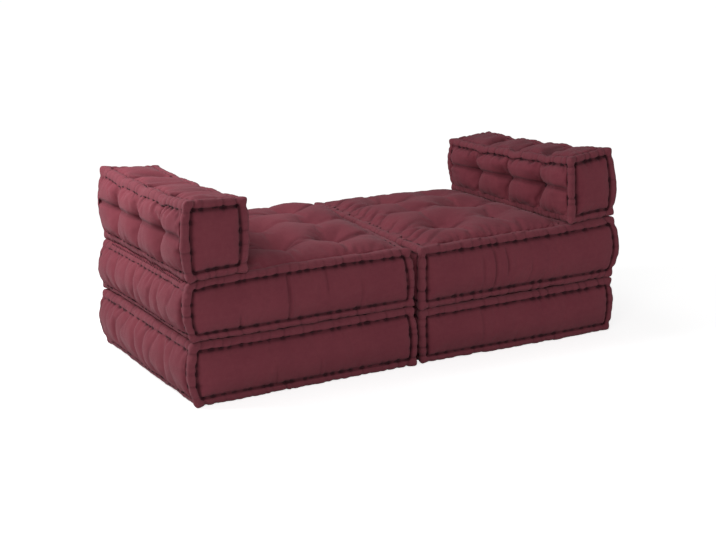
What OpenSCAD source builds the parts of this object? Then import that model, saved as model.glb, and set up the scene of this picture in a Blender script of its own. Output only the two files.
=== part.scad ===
// Modular sofa of two facing floor-mattress modules. Each module stacks a base cushion and a seat cushion and
// carries a back cushion on its outer end. All cushions are tufted blocks with hand-rolled, stitched edges.

/* [Module] */
// Length of a module between its corner seams, from its outer side to its inner side
module_l = 720; // [600:5:820]
// Depth of a module between its corner seams, from front to rear
module_w = 700; // [600:5:820]
// Gap between the two modules where their inner sides come closest
module_gap = 6; // [4:1:40]

/* [Cushions] */
// Height of the base cushion
base_h = 180; // [150:5:220]
// Height of the seat cushion
seat_h = 190; // [150:5:220]
// Height of the back cushion
back_h = 205; // [170:5:300]
// Thickness of the back cushion, from its outer face to its inner face
back_t = 180; // [150:5:240]
// Clearance between two cushions that are stacked
stack_clear = 0.3; // [0.2:0.1:1]

/* [Edge rolls] */
// Radius of the stuffed roll along every edge
roll_r = 13; // [9:0.5:15]
// Depth of the stitched groove beside a roll
groove = 4; // [2:0.5:6]
// How far the corner knots stand out of the corners
ear = 3; // [1:0.5:5]

/* [Stuffed shape] */
// How far the corner seams bow out on the outer side, at mid-height
outer_bow = 14; // [6:1:18]
// How far the corner seams bow out on the inner side, at mid-height
inner_bow = 8; // [4:1:12]
// How far the corner seams bow out at the front and rear, at mid-height
end_bow = 12; // [6:1:16]
// How far each edge is drawn in between its corners
draw_in = 4; // [2:0.5:6]
// Rise of the crowned seat top above its edge rolls
seat_crown = 24; // [10:1:30]
// Rise of the crowned top of the back cushion
back_crown = 14; // [6:1:18]
// Swell of the outer side of a base or seat cushion
side_crown = 6; // [3:0.5:8]
// Swell of the pillows on the outer and inner face of a back cushion
pillow_crown = 9; // [4:0.5:12]
// Swell of the front, rear and inner panels
panel_crown = 2; // [1:0.5:3]
// Depth of the gathers that run down the outer and inner sides
gather = 2.5; // [1:0.5:3]
// Depth from the floor at which the soft underside is pressed flat
floor_flat = 0.5; // [0.3:0.1:1]

/* [Tufts] */
// Depth of a seat tuft below the crowned top around it
seat_tuft = 30; // [12:1:34]
// Depth of a back tuft below the pillows around it
back_tuft = 24; // [12:1:26]
// Depth of the valleys that run between neighbouring tufts
valley = 9; // [3:1:10]
// Radius of the tuft's funnel
tuft_r = 38; // [25:1:45]
// Radius of the tufting twine
twine_r = 1.5; // [1:0.25:2.5]
// Radius of the knot that closes a tie, where it lies on the cover
knot_r = 5; // [3:0.5:7]
// Height of the knot
knot_h = 4; // [2:0.5:6]

/* [Inside] */
// Thickness of the cover with the wadding that is quilted to it
cover_wall = 30; // [26:1:34]
// Clearance of the filling block in its cover, and of the twine in the block
fit_clear = 0.3; // [0.2:0.1:1]
// Corner radius of the filling block
block_r = 20; // [10:1:30]

/* [Hinge] */
// Thickness of the cotton strip that hinges the back cushion
strip_t = 1.2; // [0.8:0.1:1.5]
// Clearance of the strip from the roll that it is sewn to
strip_clear = 0.3; // [0.2:0.1:0.5]

/* [Hidden] */
$fn = 32;
thread_fn = 14;

// Seat and back stand on what is below them with the stacking clearance. The base is stuffed a little deeper
// than its height, because the floor presses its underside flat.
seat_z = base_h + stack_clear;
back_z = seat_z + seat_h + stack_clear;
base_size = [module_l, module_w, base_h + floor_flat];
seat_size = [module_l, module_w, seat_h];
back_size = [back_t, module_w, back_h];

// The inner sides bulge by the bow of their corners and their panels, and the gap is left between the bulges
inner_reach = inner_bow + panel_crown;
corner_gap = module_gap + 2 * inner_reach;

// Ties stand at these shares of a cushion's length and depth, and at one share of a back cushion's height
tuft_shares = [1 / 4, 1 / 2, 3 / 4];
back_tuft_share = 0.46;

// Lines of the surface grids, as shares of the side that they divide. The grids have this many cells along a
// side of a seat and along a back cushion, so that a line runs through every tuft.
seat_cells = 12;
back_cells = 16;
base_long_shares = tuft_shares;
side_shares = [for (k = [1 : seat_cells - 1]) k / seat_cells];
base_height_shares = [1 / 2];
seat_height_shares = [1 / 3, 2 / 3];
back_thick_shares = [1 / 3, 2 / 3];
back_depth_shares = [for (k = [1 : back_cells - 1]) k / back_cells];
back_height_shares = [0.24, back_tuft_share, 0.72];

// Number of gathers on a side
gather_count = 6;

// Power of the curve along which a panel's swell rises beside its rolls, where more makes a flatter middle
swell_power = 4;

// Share of the way from the open fold between two rolls to a roll's ridge that the hinge strip leaves bare
fold_share = 0.6;

// Inset of the ridge of a roll, halfway round its quarter turn
ridge_inset = roll_r * (1 - cos(45));

cover_colour = [0.42, 0.17, 0.22];
strip_colour = [0.36, 0.13, 0.18];
filling_colour = [0.86, 0.82, 0.74];
twine_colour = [0.20, 0.05, 0.08];

// Value that rises from 0 at both ends of 0..1 to 1 at the middle, along a parabola
function arch(s) = 4 * s * (1 - s);

// Value that rises quickly from 0 at both ends of 0..1 and stays near 1 between them
function plateau(s) = s <= 0 || s >= 1 ? 0 : 1 - pow(abs(2 * s - 1), swell_power);

// Share of the way across the panel that lies between the grooves of two rolls
function panel_share(d, size) = (d - 2 * roll_r) / (size - 4 * roll_r);

// Bell-shaped value that is 1 at distance 0 and close to 0 at twice the radius
function bell(d, r) = exp(-d * d / (r * r));

// Highest of the bells that stand at the tufts' places along one side
function tuft_line(d, size, r) = max([for (s = tuft_shares) bell(d - s * size, r)]);

// Grid lines along one side: ridge, crest and groove of the roll at each end, and the shares between them
function grid(size, shares) = concat(
    [0, roll_r, 2 * roll_r],
    [for (s = shares) s * size],
    [size - 2 * roll_r, size - roll_r, size]);

// Inset of a face at distance d from its nearest edge
function edge_inset(d, depth) =
    d < roll_r / 2 ? ridge_inset
    : d < 1.5 * roll_r ? 0
    : d < 2.5 * roll_r ? depth
    : 0;

// Rise of a face above its plain box, where a is its distance along and b its distance across
function face_rise(field, depth, a, b, size_a, size_b) =
    let (d = min(a, size_a - a, b, size_b - b))
    d < 2.5 * roll_r ? -edge_inset(d, depth) : field(a, b);

// Which side of the box a coordinate lies on: -1, 0 between the sides, or 1
function side_of(c, size) = c <= 0 ? -1 : c >= size ? 1 : 0;

// A point of a cushion's plain box, moved to its place on the stuffed form. The form holds the size, the bows
// of the outer side, inner side and ends, the six fields in the order X, Y, Z with the low side first, and the
// six groove depths in the same order.
function form_point(p, form) =
    let (
        size = form[0],
        bow = form[1],
        field = form[2],
        depth = form[3],
        side = [side_of(p.x, size.x), side_of(p.y, size.y), side_of(p.z, size.z)],
        share = [p.x / size.x, p.y / size.y, p.z / size.z],
        ix = side.x > 0 ? 1 : 0,
        iy = side.y > 0 ? 3 : 2,
        iz = side.z > 0 ? 5 : 4,
        corner = side.x != 0 && side.y != 0 && side.z != 0,
        rise_x = corner ? ear : face_rise(field[ix], depth[ix], p.y, p.z, size.y, size.z),
        rise_y = corner ? ear : face_rise(field[iy], depth[iy], p.x, p.z, size.x, size.z),
        rise_z = face_rise(field[iz], depth[iz], p.x, p.y, size.x, size.y),
        swell = arch(share.z),
        out_x = swell * (bow[1] * share.x - bow[0] * (1 - share.x)),
        out_y = swell * bow[2] * (2 * share.y - 1),
        in_x = draw_in * (2 * share.x - 1) * arch(share.y),
        in_y = draw_in * (2 * share.y - 1) * arch(share.x))
    [
        p.x + side.x * rise_x + out_x - in_x,
        p.y + side.y * rise_y + out_y - in_y,
        p.z + side.z * rise_z];

// Two triangles of one grid cell with the four given corners, whose common edge may be turned the other way
function cell(c, turned) =
    turned ? [[c[0], c[1], c[3]], [c[1], c[2], c[3]]] : [[c[0], c[1], c[2]], [c[0], c[2], c[3]]];

// The four corners of a cell in the opposite order, so that it faces the other way
function turned_over(c) = [c[3], c[2], c[1], c[0]];

// Closed cushion surface over a grid on each of the box's six faces
module stuffed_form(form, gx, gy, gz) {
    nx = len(gx);
    ny = len(gy);
    nz = len(gz);
    points = [for (z = gz) for (y = gy) for (x = gx) form_point([x, y, z], form)];
    function at(i, j, k) = i + nx * (j + ny * k);
    function odd(i, j) = (i + j) % 2 == 1;
    function level(i, j, k) = [at(i, j, k), at(i + 1, j, k), at(i + 1, j + 1, k), at(i, j + 1, k)];
    function facing_end(i, j, k) = [at(i, j, k + 1), at(i + 1, j, k + 1), at(i + 1, j, k), at(i, j, k)];
    function facing_side(i, j, k) = [at(i, j, k), at(i, j + 1, k), at(i, j + 1, k + 1), at(i, j, k + 1)];
    faces_z = [for (i = [0 : nx - 2]) for (j = [0 : ny - 2]) each concat(
        cell(level(i, j, 0), odd(i, j)),
        cell(turned_over(level(i, j, nz - 1)), odd(i, j)))];
    faces_y = [for (i = [0 : nx - 2]) for (k = [0 : nz - 2]) each concat(
        cell(facing_end(i, 0, k), odd(i, k)),
        cell(turned_over(facing_end(i, ny - 1, k)), odd(i, k)))];
    faces_x = [for (j = [0 : ny - 2]) for (k = [0 : nz - 2]) each concat(
        cell(facing_side(0, j, k), odd(j, k)),
        cell(turned_over(facing_side(nx - 1, j, k)), odd(j, k)))];
    polyhedron(points = points, faces = concat(faces_x, faces_y, faces_z), convexity = 6);
}

// Fields of the faces: how far a panel stands out of its plain box
flat_field = function (a, b) 0;

function gathered_field(size_w, size_h, crown) = function (a, b)
    let (
        v = a / size_w,
        swell = plateau(panel_share(a, size_w)) * arch(b / size_h))
    swell * crown + gather * cos(360 * gather_count * v) * arch(b / size_h);

function panel_field(size_a, size_h, crown) = function (a, b)
    plateau(panel_share(a, size_a)) * arch(b / size_h) * crown;

// Crowned seat top with its three rows of tufts, flat where the back cushion stands
seat_top_field = function (a, b)
    let (
        u = (a - back_t) / (module_l - 2 * roll_r - back_t),
        v = panel_share(b, module_w),
        crown = seat_crown * plateau(u) * plateau(v),
        along = tuft_line(a, module_l, tuft_r),
        across = tuft_line(b, module_w, tuft_r),
        shown_share = a > back_t + roll_r ? 1 : a < back_t - roll_r ? 0 : 1 / 2)
    crown - shown_share * (valley * max(along, across) * plateau(v) + (seat_tuft - valley) * along * across);

// Outer or inner face of a back cushion: pillows between one row of tufts
pillow_field = function (a, b)
    let (
        across = tuft_line(a, module_w, tuft_r),
        up = bell(b - back_tuft_share * back_h, tuft_r),
        swell = pillow_crown * plateau(panel_share(a, module_w)))
    swell - valley * max(across, up) - (back_tuft - valley) * across * up;

// Top of a back cushion: crowned, with a valley across it above each tuft
back_top_field = function (a, b)
    (back_crown - valley * tuft_line(b, module_w, tuft_r)) * plateau(panel_share(b, module_w));

base_form = [
    base_size, [outer_bow, inner_bow, end_bow],
    [
        gathered_field(module_w, base_size.z, side_crown), gathered_field(module_w, base_size.z, 0),
        panel_field(module_l, base_size.z, panel_crown), panel_field(module_l, base_size.z, panel_crown),
        flat_field, flat_field],
    [groove, groove, groove, groove, 0, 0]];

seat_form = [
    seat_size, [outer_bow, inner_bow, end_bow],
    [
        gathered_field(module_w, seat_h, side_crown), gathered_field(module_w, seat_h, 0),
        panel_field(module_l, seat_h, panel_crown), panel_field(module_l, seat_h, panel_crown),
        flat_field, seat_top_field],
    [groove, groove, groove, groove, 0, groove]];

back_form = [
    back_size, [outer_bow, inner_bow, end_bow],
    [
        pillow_field, pillow_field,
        panel_field(back_t, back_h, panel_crown), panel_field(back_t, back_h, panel_crown),
        flat_field, back_top_field],
    [groove, groove, groove, groove, 0, groove]];

base_grid = [
    grid(module_l, base_long_shares), grid(module_w, side_shares), grid(base_size.z, base_height_shares)];
seat_grid = [
    grid(module_l, side_shares), grid(module_w, side_shares), grid(seat_h, seat_height_shares)];
back_grid = [
    grid(back_t, back_thick_shares), grid(module_w, back_depth_shares), grid(back_h, back_height_shares)];

// Upright block with rounded corners that stands inside a cushion, smaller than its box by the inset all round
module block(size, inset) {
    l = size.x - 2 * inset;
    w = size.y - 2 * inset;
    translate([inset, inset, inset])
        linear_extrude(size.z - 2 * inset)
            union() {
                translate([block_r, 0]) square([l - 2 * block_r, w]);
                translate([0, block_r]) square([l, w - 2 * block_r]);
                for (x = [block_r, l - block_r])
                    for (y = [block_r, w - block_r])
                        translate([x, y]) circle(block_r);
            }
}

// Straight runs of twine up through a base or seat cushion, as thick as the given radius
module upright_runs(size, r, inset) {
    for (s = tuft_shares)
        for (t = tuft_shares)
            translate([s * size.x, t * size.y, inset])
                cylinder(h = size.z - 2 * inset, r = r, $fn = thread_fn);
}

// Straight runs of twine through a back cushion, from its outer to its inner face
module level_runs(r, inset) {
    for (t = tuft_shares)
        translate([inset, t * module_w, back_tuft_share * back_h])
            rotate([0, 90, 0]) cylinder(h = back_t - 2 * inset, r = r, $fn = thread_fn);
}

// Height of a knot's rim above the lowest point of its funnel, whose walls climb within one grid cell
function knot_lift(depth, cell_size) = knot_r * norm([depth - valley, valley]) / cell_size + fit_clear;

// Twine knot, with its wide end on the cover
module knot() {
    cylinder(h = knot_h, r1 = knot_r, r2 = knot_r / 2, $fn = thread_fn);
}

module cover(form, lines) {
    color(cover_colour) difference() {
        stuffed_form(form, lines[0], lines[1], lines[2]);
        block(form[0], cover_wall);
    }
}

module filling_block(size) {
    color(filling_colour) difference() {
        block(size, cover_wall + fit_clear);
        children();
    }
}

// Base cushion, with its rolled underside pressed flat on the floor
module base_cover() {
    color(cover_colour) difference() {
        translate([0, 0, -floor_flat])
            cover(base_form, base_grid);
        translate([-module_l, -module_w, -module_l]) cube([3 * module_l, 3 * module_w, module_l]);
    }
}

module base_filling() {
    translate([0, 0, -floor_flat])
        filling_block(base_size) upright_runs(base_size, twine_r + fit_clear, 0);
}

module base_ties() {
    translate([0, 0, -floor_flat])
        color(twine_colour) upright_runs(base_size, twine_r, cover_wall + fit_clear);
}

module seat_cover() {
    translate([0, 0, seat_z]) cover(seat_form, seat_grid);
}

module seat_filling() {
    translate([0, 0, seat_z]) filling_block(seat_size) upright_runs(seat_size, twine_r + fit_clear, 0);
}

// Twine of the seat's tufts, with a knot in each funnel that the back cushion leaves free
module seat_ties() {
    lift = knot_lift(seat_tuft, min(module_l, module_w) / seat_cells);
    color(twine_colour) translate([0, 0, seat_z]) {
        upright_runs(seat_size, twine_r, cover_wall + fit_clear);
        for (s = tuft_shares)
            for (t = tuft_shares)
                if (s * module_l > back_t + 2 * knot_r)
                    translate(form_point([s * module_l, t * module_w, seat_h], seat_form) + [0, 0, lift])
                        knot();
    }
}

module back_cover() {
    translate([0, 0, back_z]) cover(back_form, back_grid);
}

module back_filling() {
    translate([0, 0, back_z]) filling_block(back_size) level_runs(twine_r + fit_clear, 0);
}

// Twine of the back's tufts, with a knot in the funnels of both faces
module back_ties() {
    tuft_z = back_tuft_share * back_h;
    lift = knot_lift(back_tuft, module_w / back_cells);
    color(twine_colour) translate([0, 0, back_z]) {
        level_runs(twine_r, cover_wall + fit_clear);
        for (t = tuft_shares) {
            translate(form_point([0, t * module_w, tuft_z], back_form) - [lift, 0, 0])
                rotate([0, -90, 0]) knot();
            translate(form_point([back_t, t * module_w, tuft_z], back_form) + [lift, 0, 0])
                rotate([0, 90, 0]) knot();
        }
    }
}

// Strip sewn over the quarter of a roll that faces the hinge line: its section at one place along the edge.
// The points run from the fold between the two rolls over the ridge to the crest on the outer side. Up is 1 on
// the seat's upper roll and -1 on the lower roll of the back.
function strip_section(form, y, z_edge, up) =
    let (
        ridge = form_point([0, y, z_edge], form),
        level = form_point([roll_r, y, z_edge], form),
        crest = form_point([0, y, z_edge - up * roll_r], form),
        fold = level + (ridge - level) * fold_share,
        slant = [-cos(45), 0, up * cos(45)],
        bend = [-1, 0, up * tan(22.5)],
        out = [-1, 0, 0])
    [
        fold + strip_clear * slant, ridge + strip_clear * bend, crest + strip_clear * out,
        crest + (strip_clear + strip_t) * out, ridge + (strip_clear + strip_t) * bend,
        fold + (strip_clear + strip_t) * slant];

module strip(form, lines, z_edge, up) {
    rows = [for (i = [3 : len(lines) - 4]) lines[i]];
    sections = [for (y = rows) strip_section(form, y, z_edge, up)];
    n = len(sections[0]);
    last = len(rows) - 1;
    points = [for (s = sections) each s];
    sides = [for (r = [0 : last - 1]) for (i = [0 : n - 1])
        let (a = r * n + i, b = r * n + (i + 1) % n)
        each [[a, b, b + n], [a, b + n, a + n]]];
    near_cap = [for (i = [1 : n - 2]) [0, i + 1, i]];
    far_cap = [for (i = [1 : n - 2]) [last * n, last * n + i, last * n + i + 1]];
    faces = concat(sides, near_cap, far_cap);
    turned = [for (f = faces) [f[2], f[1], f[0]]];
    polyhedron(points = points, faces = up > 0 ? turned : faces, convexity = 4);
}

module hinge_lower() {
    color(strip_colour) translate([0, 0, seat_z]) strip(seat_form, seat_grid[1], seat_h, 1);
}

module hinge_upper() {
    color(strip_colour) translate([0, 0, back_z]) strip(back_form, back_grid[1], 0, -1);
}

// A module's own frame has its origin at the outer front corner on the floor, with X towards the other module
module left_side() {
    translate([-module_l - corner_gap / 2, -module_w / 2, 0]) children();
}

module right_side() {
    mirror([1, 0, 0]) left_side() children();
}

left_side() base_cover();  // left_base_cover
left_side() base_filling();  // left_base_filling
left_side() base_ties();  // left_base_ties
left_side() seat_cover();  // left_seat_cover
left_side() seat_filling();  // left_seat_filling
left_side() seat_ties();  // left_seat_ties
left_side() back_cover();  // left_back_cover
left_side() back_filling();  // left_back_filling
left_side() back_ties();  // left_back_ties
left_side() hinge_lower();  // left_hinge_lower
left_side() hinge_upper();  // left_hinge_upper
right_side() base_cover();  // right_base_cover
right_side() base_filling();  // right_base_filling
right_side() base_ties();  // right_base_ties
right_side() seat_cover();  // right_seat_cover
right_side() seat_filling();  // right_seat_filling
right_side() seat_ties();  // right_seat_ties
right_side() back_cover();  // right_back_cover
right_side() back_filling();  // right_back_filling
right_side() back_ties();  // right_back_ties
right_side() hinge_lower();  // right_hinge_lower
right_side() hinge_upper();  // right_hinge_upper
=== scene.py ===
"""Looks of a modular sofa: six tufted floor-mattress cushions in two facing modules.

Every cushion is drawn as a grid over the six faces of its box. The grid is moved onto a stuffed form with a
round roll along each edge, blown up by a cloth simulation that the rolls and tufts hold, and then gets its
creases, puckers and stitches. A module also has its hinge strip, its tufting twine and its batting.
"""

import logging
import math
from dataclasses import dataclass, field, replace
from enum import Enum, IntEnum
from typing import Mapping, Sequence, Union

import bpy
import numpy as np
from mathutils import Matrix, Vector


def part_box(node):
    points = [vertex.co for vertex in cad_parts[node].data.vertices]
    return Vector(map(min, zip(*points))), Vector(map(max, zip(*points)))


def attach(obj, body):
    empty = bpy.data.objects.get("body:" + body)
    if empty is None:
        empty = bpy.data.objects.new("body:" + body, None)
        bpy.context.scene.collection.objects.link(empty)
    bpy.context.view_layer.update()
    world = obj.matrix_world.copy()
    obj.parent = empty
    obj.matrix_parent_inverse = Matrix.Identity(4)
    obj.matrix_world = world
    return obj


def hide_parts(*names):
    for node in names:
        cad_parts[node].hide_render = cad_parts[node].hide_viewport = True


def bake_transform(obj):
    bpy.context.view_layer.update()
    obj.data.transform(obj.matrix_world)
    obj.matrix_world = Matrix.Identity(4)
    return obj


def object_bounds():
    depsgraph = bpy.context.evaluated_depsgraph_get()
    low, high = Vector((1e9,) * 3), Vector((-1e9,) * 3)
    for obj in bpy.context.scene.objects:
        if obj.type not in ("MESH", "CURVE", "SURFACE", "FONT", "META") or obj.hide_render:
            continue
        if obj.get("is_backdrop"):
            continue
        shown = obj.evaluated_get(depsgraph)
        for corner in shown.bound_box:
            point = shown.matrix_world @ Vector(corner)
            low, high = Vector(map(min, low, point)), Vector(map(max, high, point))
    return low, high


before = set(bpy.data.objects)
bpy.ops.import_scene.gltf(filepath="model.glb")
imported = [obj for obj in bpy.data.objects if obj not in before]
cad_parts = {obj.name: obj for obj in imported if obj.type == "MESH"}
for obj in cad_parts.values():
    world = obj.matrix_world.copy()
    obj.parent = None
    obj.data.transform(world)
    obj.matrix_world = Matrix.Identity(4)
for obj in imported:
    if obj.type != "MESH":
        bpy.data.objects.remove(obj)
CAD_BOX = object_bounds()
LOG = logging.getLogger("sofa")
MM = 0.001
TINY = 1e-7
NEAR = 1e-5
EDGES = 12
THREAD_PITCH = 0.8 * MM
ENTRY_SHARES = np.array([0.25, 0.6])
Points = np.ndarray
Values = np.ndarray
Triple = tuple[float, float, float]
Colour = Triple
Pair = tuple[float, float]
Number = Union[float, "Wire"]
Tube = tuple[Points, list[tuple[int, ...]]]


class Side(Enum):
    """The two modules, with the sign of X on which each lies."""

    LEFT = -1
    RIGHT = 1

    @property
    def label(self) -> str:
        """Name of the side as the frame's nodes and bodies begin with it."""
        return self.name.lower()


class Face(Enum):
    """The six faces of a cushion's box, as axis and end."""

    OUTER = (0, 0)
    INNER = (0, 1)
    FRONT = (1, 0)
    REAR = (1, 1)
    BOTTOM = (2, 0)
    TOP = (2, 1)

    @property
    def sides(self) -> list[int]:
        """The two axes that run along the face."""
        return [n for n in range(3) if n != self.value[0]]


def between(stops: Values, places: Values, rows: Points) -> Points:
    """Rows at given stops, read between the rows that stand at rising places."""
    return np.stack([np.interp(stops, places, column) for column in rows.T], axis=1)


class Edge(IntEnum):
    """Numbers of the twelve edges: four that run along X, four along Y and four along Z.

    Within each four, 2 is added at the far end of the first other axis and 1 at that of the second.
    """

    FRONT_TOP = 1
    REAR_TOP = 3
    OUTER_BOTTOM = 4
    OUTER_TOP = 5
    INNER_BOTTOM = 6
    INNER_TOP = 7
    OUTER_FRONT = 8
    INNER_FRONT = 10
    INNER_REAR = 11


def arch(share: Values) -> Values:
    """Rises from 0 at both ends of 0..1 to 1 in the middle, along a parabola."""
    return 4 * share * (1 - share)


def plateau(share: Values, power: float = 4.0) -> Values:
    """Rises quickly from 0 at both ends of 0..1 and stays near 1 between them."""
    return 1 - np.abs(2 * np.clip(share, 0, 1) - 1) ** power


def bell(distance: Values, radius: float) -> Values:
    """Bell that is 1 at distance 0 and close to 0 at twice the radius."""
    return np.exp(-((distance / radius) ** 2))


def smooth(low: float, high: float, value: Values) -> Values:
    """Climbs smoothly from 0 where value is low to 1 where it is high."""
    share = np.clip((value - low) / (high - low), 0, 1)
    return share * share * (3 - 2 * share)


class Ripple:
    """Smooth random field made of a few plane waves, about -1 to 1."""

    SPREAD = (0.6, 1.4)

    def __init__(self, wavelength: float, seed: int, waves: int = 14) -> None:
        """Draws the waves.

        Args:
            wavelength: Typical distance between two crests, in metres.
            seed: Seed of the random draw.
            waves: How many waves are summed.
        """
        rng = np.random.default_rng(seed)
        way = rng.normal(size=(waves, 3))
        way /= np.linalg.norm(way, axis=1)[:, None]
        self.pull = way * (2 * math.pi / wavelength * rng.uniform(*self.SPREAD, waves))[:, None]
        self.start = rng.uniform(0, 2 * math.pi, waves)

    def __call__(self, points: Points) -> Values:
        """Value of the field at each point."""
        waves = np.sin(points @ self.pull.T + self.start)
        return waves.sum(axis=1) / math.sqrt(len(self.start))


@dataclass(frozen=True)
class Roll:
    """Section of the stuffed roll that runs along every edge of a cushion.

    Attributes:
        turn_deg: Turn from the ridge of the roll to the groove on either face.
        steps: Grid lines from ridge to groove.
        puff: Width over which the panel beside the groove rises to its height.
    """

    RIDGE = math.radians(225)
    CREST = math.radians(270)

    radius: float = 12 * MM
    turn_deg: float = 118.0
    steps: int = 8
    puff: float = 17 * MM

    @property
    def groove(self) -> float:
        """Distance along the cloth from the ridge to the groove."""
        return self.radius * math.radians(self.turn_deg)

    def angle(self, cloth: Values) -> Values:
        """Angle on the roll's section of a point at a distance along the cloth from the ridge."""
        return self.RIDGE + np.minimum(cloth, self.groove) / self.radius

    def inset(self, cloth: Values) -> Values:
        """Distance within the face from its edge of a point at a distance along the cloth."""
        return self.radius * (1 + np.cos(self.angle(cloth))) + np.maximum(cloth - self.groove, 0)

    def depth(self, cloth: Values, cut: Values) -> Values:
        """Depth below the face of a point at a distance along the cloth: roll, groove and puffed panel.

        Args:
            cloth: Distances along the cloth from the ridge.
            cut: Share of its full depth that the groove has there.

        Returns:
            The depths.
        """
        deep = self.radius * (1 + np.sin(self.angle(cloth)))
        deep = np.where(self.angle(cloth) > self.CREST, cut * deep, deep)
        share = np.clip((cloth - self.groove) / self.puff, 0, 1)
        return deep * np.where(cloth > self.groove, 1 - np.sqrt(1 - (1 - share) ** 2), 1)


@dataclass(frozen=True)
class Axis:
    """Grid lines along one side of a cushion's box, with a roll at both ends."""

    length: float
    pitch: float
    roll: Roll

    @property
    def cloth_length(self) -> float:
        """Length along the cloth from ridge to ridge."""
        return self.length + 2 * (self.roll.groove - float(self.roll.inset(np.array(self.roll.groove))))

    def lines(self) -> Values:
        """Places of the grid lines along the cloth."""
        near = np.linspace(0, self.roll.groove, self.roll.steps + 1)
        entry = self.roll.groove + ENTRY_SHARES * self.pitch
        inner = self.cloth_length - 2 * entry[-1]
        cells = max(2, round(inner / self.pitch))
        panel = entry[-1] + np.linspace(0, inner, cells + 1)
        return np.concatenate([near, entry[:-1], panel, self.cloth_length - entry[:-1][::-1],
                               self.cloth_length - near[::-1]])

    def place(self, cloth: Values) -> Values:
        """Place along the side of a point at a place along the cloth."""
        inset = self.roll.inset(np.minimum(cloth, self.cloth_length - cloth))
        return np.where(cloth < self.cloth_length / 2, inset, self.length - inset)


def box_grid(lines: Sequence[Values]) -> tuple[Points, np.ndarray]:
    """Points and quads of a grid over the six faces of a box.

    Args:
        lines: Places of the grid lines along X, Y and Z.

    Returns:
        The points, and the quads as rows of four indices that run anticlockwise seen from outside.
    """
    count = [len(line) for line in lines]
    grid = np.stack(np.meshgrid(*lines, indexing="ij"), axis=-1)
    shown = np.zeros(count, bool)
    for axis in range(3):
        shown[(slice(None),) * axis + (0,)] = True
        shown[(slice(None),) * axis + (-1,)] = True
    index = np.full(count, -1)
    index[shown] = np.arange(shown.sum())
    quads = []
    for axis in range(3):
        for end in (0, -1):
            face = np.take(index, end, axis=axis)
            corners = [face[:-1, :-1], face[1:, :-1], face[1:, 1:], face[:-1, 1:]]
            if (end == 0) != (axis == 1):
                corners.reverse()
            quads.append(np.stack([c.ravel() for c in corners], axis=1))
    return grid[shown], np.concatenate(quads)


def make_object(name: str, points: Points, faces: Sequence, smooth_shaded: bool = True) -> bpy.types.Object:
    """Makes a mesh object from points and faces.

    Args:
        name: Name of the object and its mesh.
        points: Vertex places.
        faces: Faces as rows of indices.
        smooth_shaded: Whether its faces are shaded smooth.

    Returns:
        The object, linked to the scene.
    """
    mesh = bpy.data.meshes.new(name)
    mesh.from_pydata(points.tolist(), [], [list(map(int, f)) for f in faces])
    mesh.polygons.foreach_set("use_smooth", [smooth_shaded] * len(mesh.polygons))
    mesh.update()
    made = bpy.data.objects.new(name, mesh)
    bpy.context.scene.collection.objects.link(made)
    return made


def get_rows(kept: bpy.types.bpy_prop_collection, what: str) -> Points:
    """Reads three numbers from each item of a collection, as rows."""
    flat = np.empty(len(kept) * 3, np.float32)
    kept.foreach_get(what, flat)
    return flat.reshape(-1, 3).astype(float)


def get_points(mesh: bpy.types.Mesh) -> Points:
    """Vertex places of a mesh as rows."""
    return get_rows(mesh.vertices, "co")


def get_normals(mesh: bpy.types.Mesh) -> Points:
    """Vertex normals of a mesh as rows."""
    return get_rows(mesh.vertex_normals, "vector")


def set_points(mesh: bpy.types.Mesh, points: Points) -> None:
    """Moves the vertices of a mesh to the given rows."""
    mesh.vertices.foreach_set("co", points.astype(np.float32).ravel())
    mesh.update()


def set_number(mesh: bpy.types.Mesh, name: str, values: Values) -> None:
    """Keeps one number per vertex under a name, for the materials."""
    layer = mesh.attributes.new(name, "FLOAT", "POINT")
    layer.data.foreach_set("value", values.astype(np.float32))


def set_vector(mesh: bpy.types.Mesh, name: str, values: Points) -> None:
    """Keeps one vector per vertex under a name."""
    layer = mesh.attributes.new(name, "FLOAT_VECTOR", "POINT")
    layer.data.foreach_set("vector", values.astype(np.float32).ravel())


def get_vector(mesh: bpy.types.Mesh, name: str) -> Points:
    """Vectors kept under a name, as rows."""
    return get_rows(mesh.attributes[name].data, "vector")


class Wire:
    """Output of a shader node. A sum written on it adds a Math node."""

    def __init__(self, tree: "Tree", socket: bpy.types.NodeSocket) -> None:
        """Wraps an output socket of a node tree."""
        self.tree, self.socket = tree, socket

    def math(self, operation: str, *others: Number) -> "Wire":
        """Adds a Math node whose first value is this wire."""
        return self.tree.math(operation, self, *others)

    def __add__(self, other: Number) -> "Wire":
        """Adds a number or wire."""
        return self.math("ADD", other)

    __radd__ = __add__

    def __sub__(self, other: Number) -> "Wire":
        """Takes a number or wire away."""
        return self.math("SUBTRACT", other)

    def __rsub__(self, other: Number) -> "Wire":
        """Takes this wire away from a number."""
        return self.tree.math("SUBTRACT", other, self)

    def __mul__(self, other: Number) -> "Wire":
        """Multiplies by a number or wire."""
        return self.math("MULTIPLY", other)

    __rmul__ = __mul__


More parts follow.
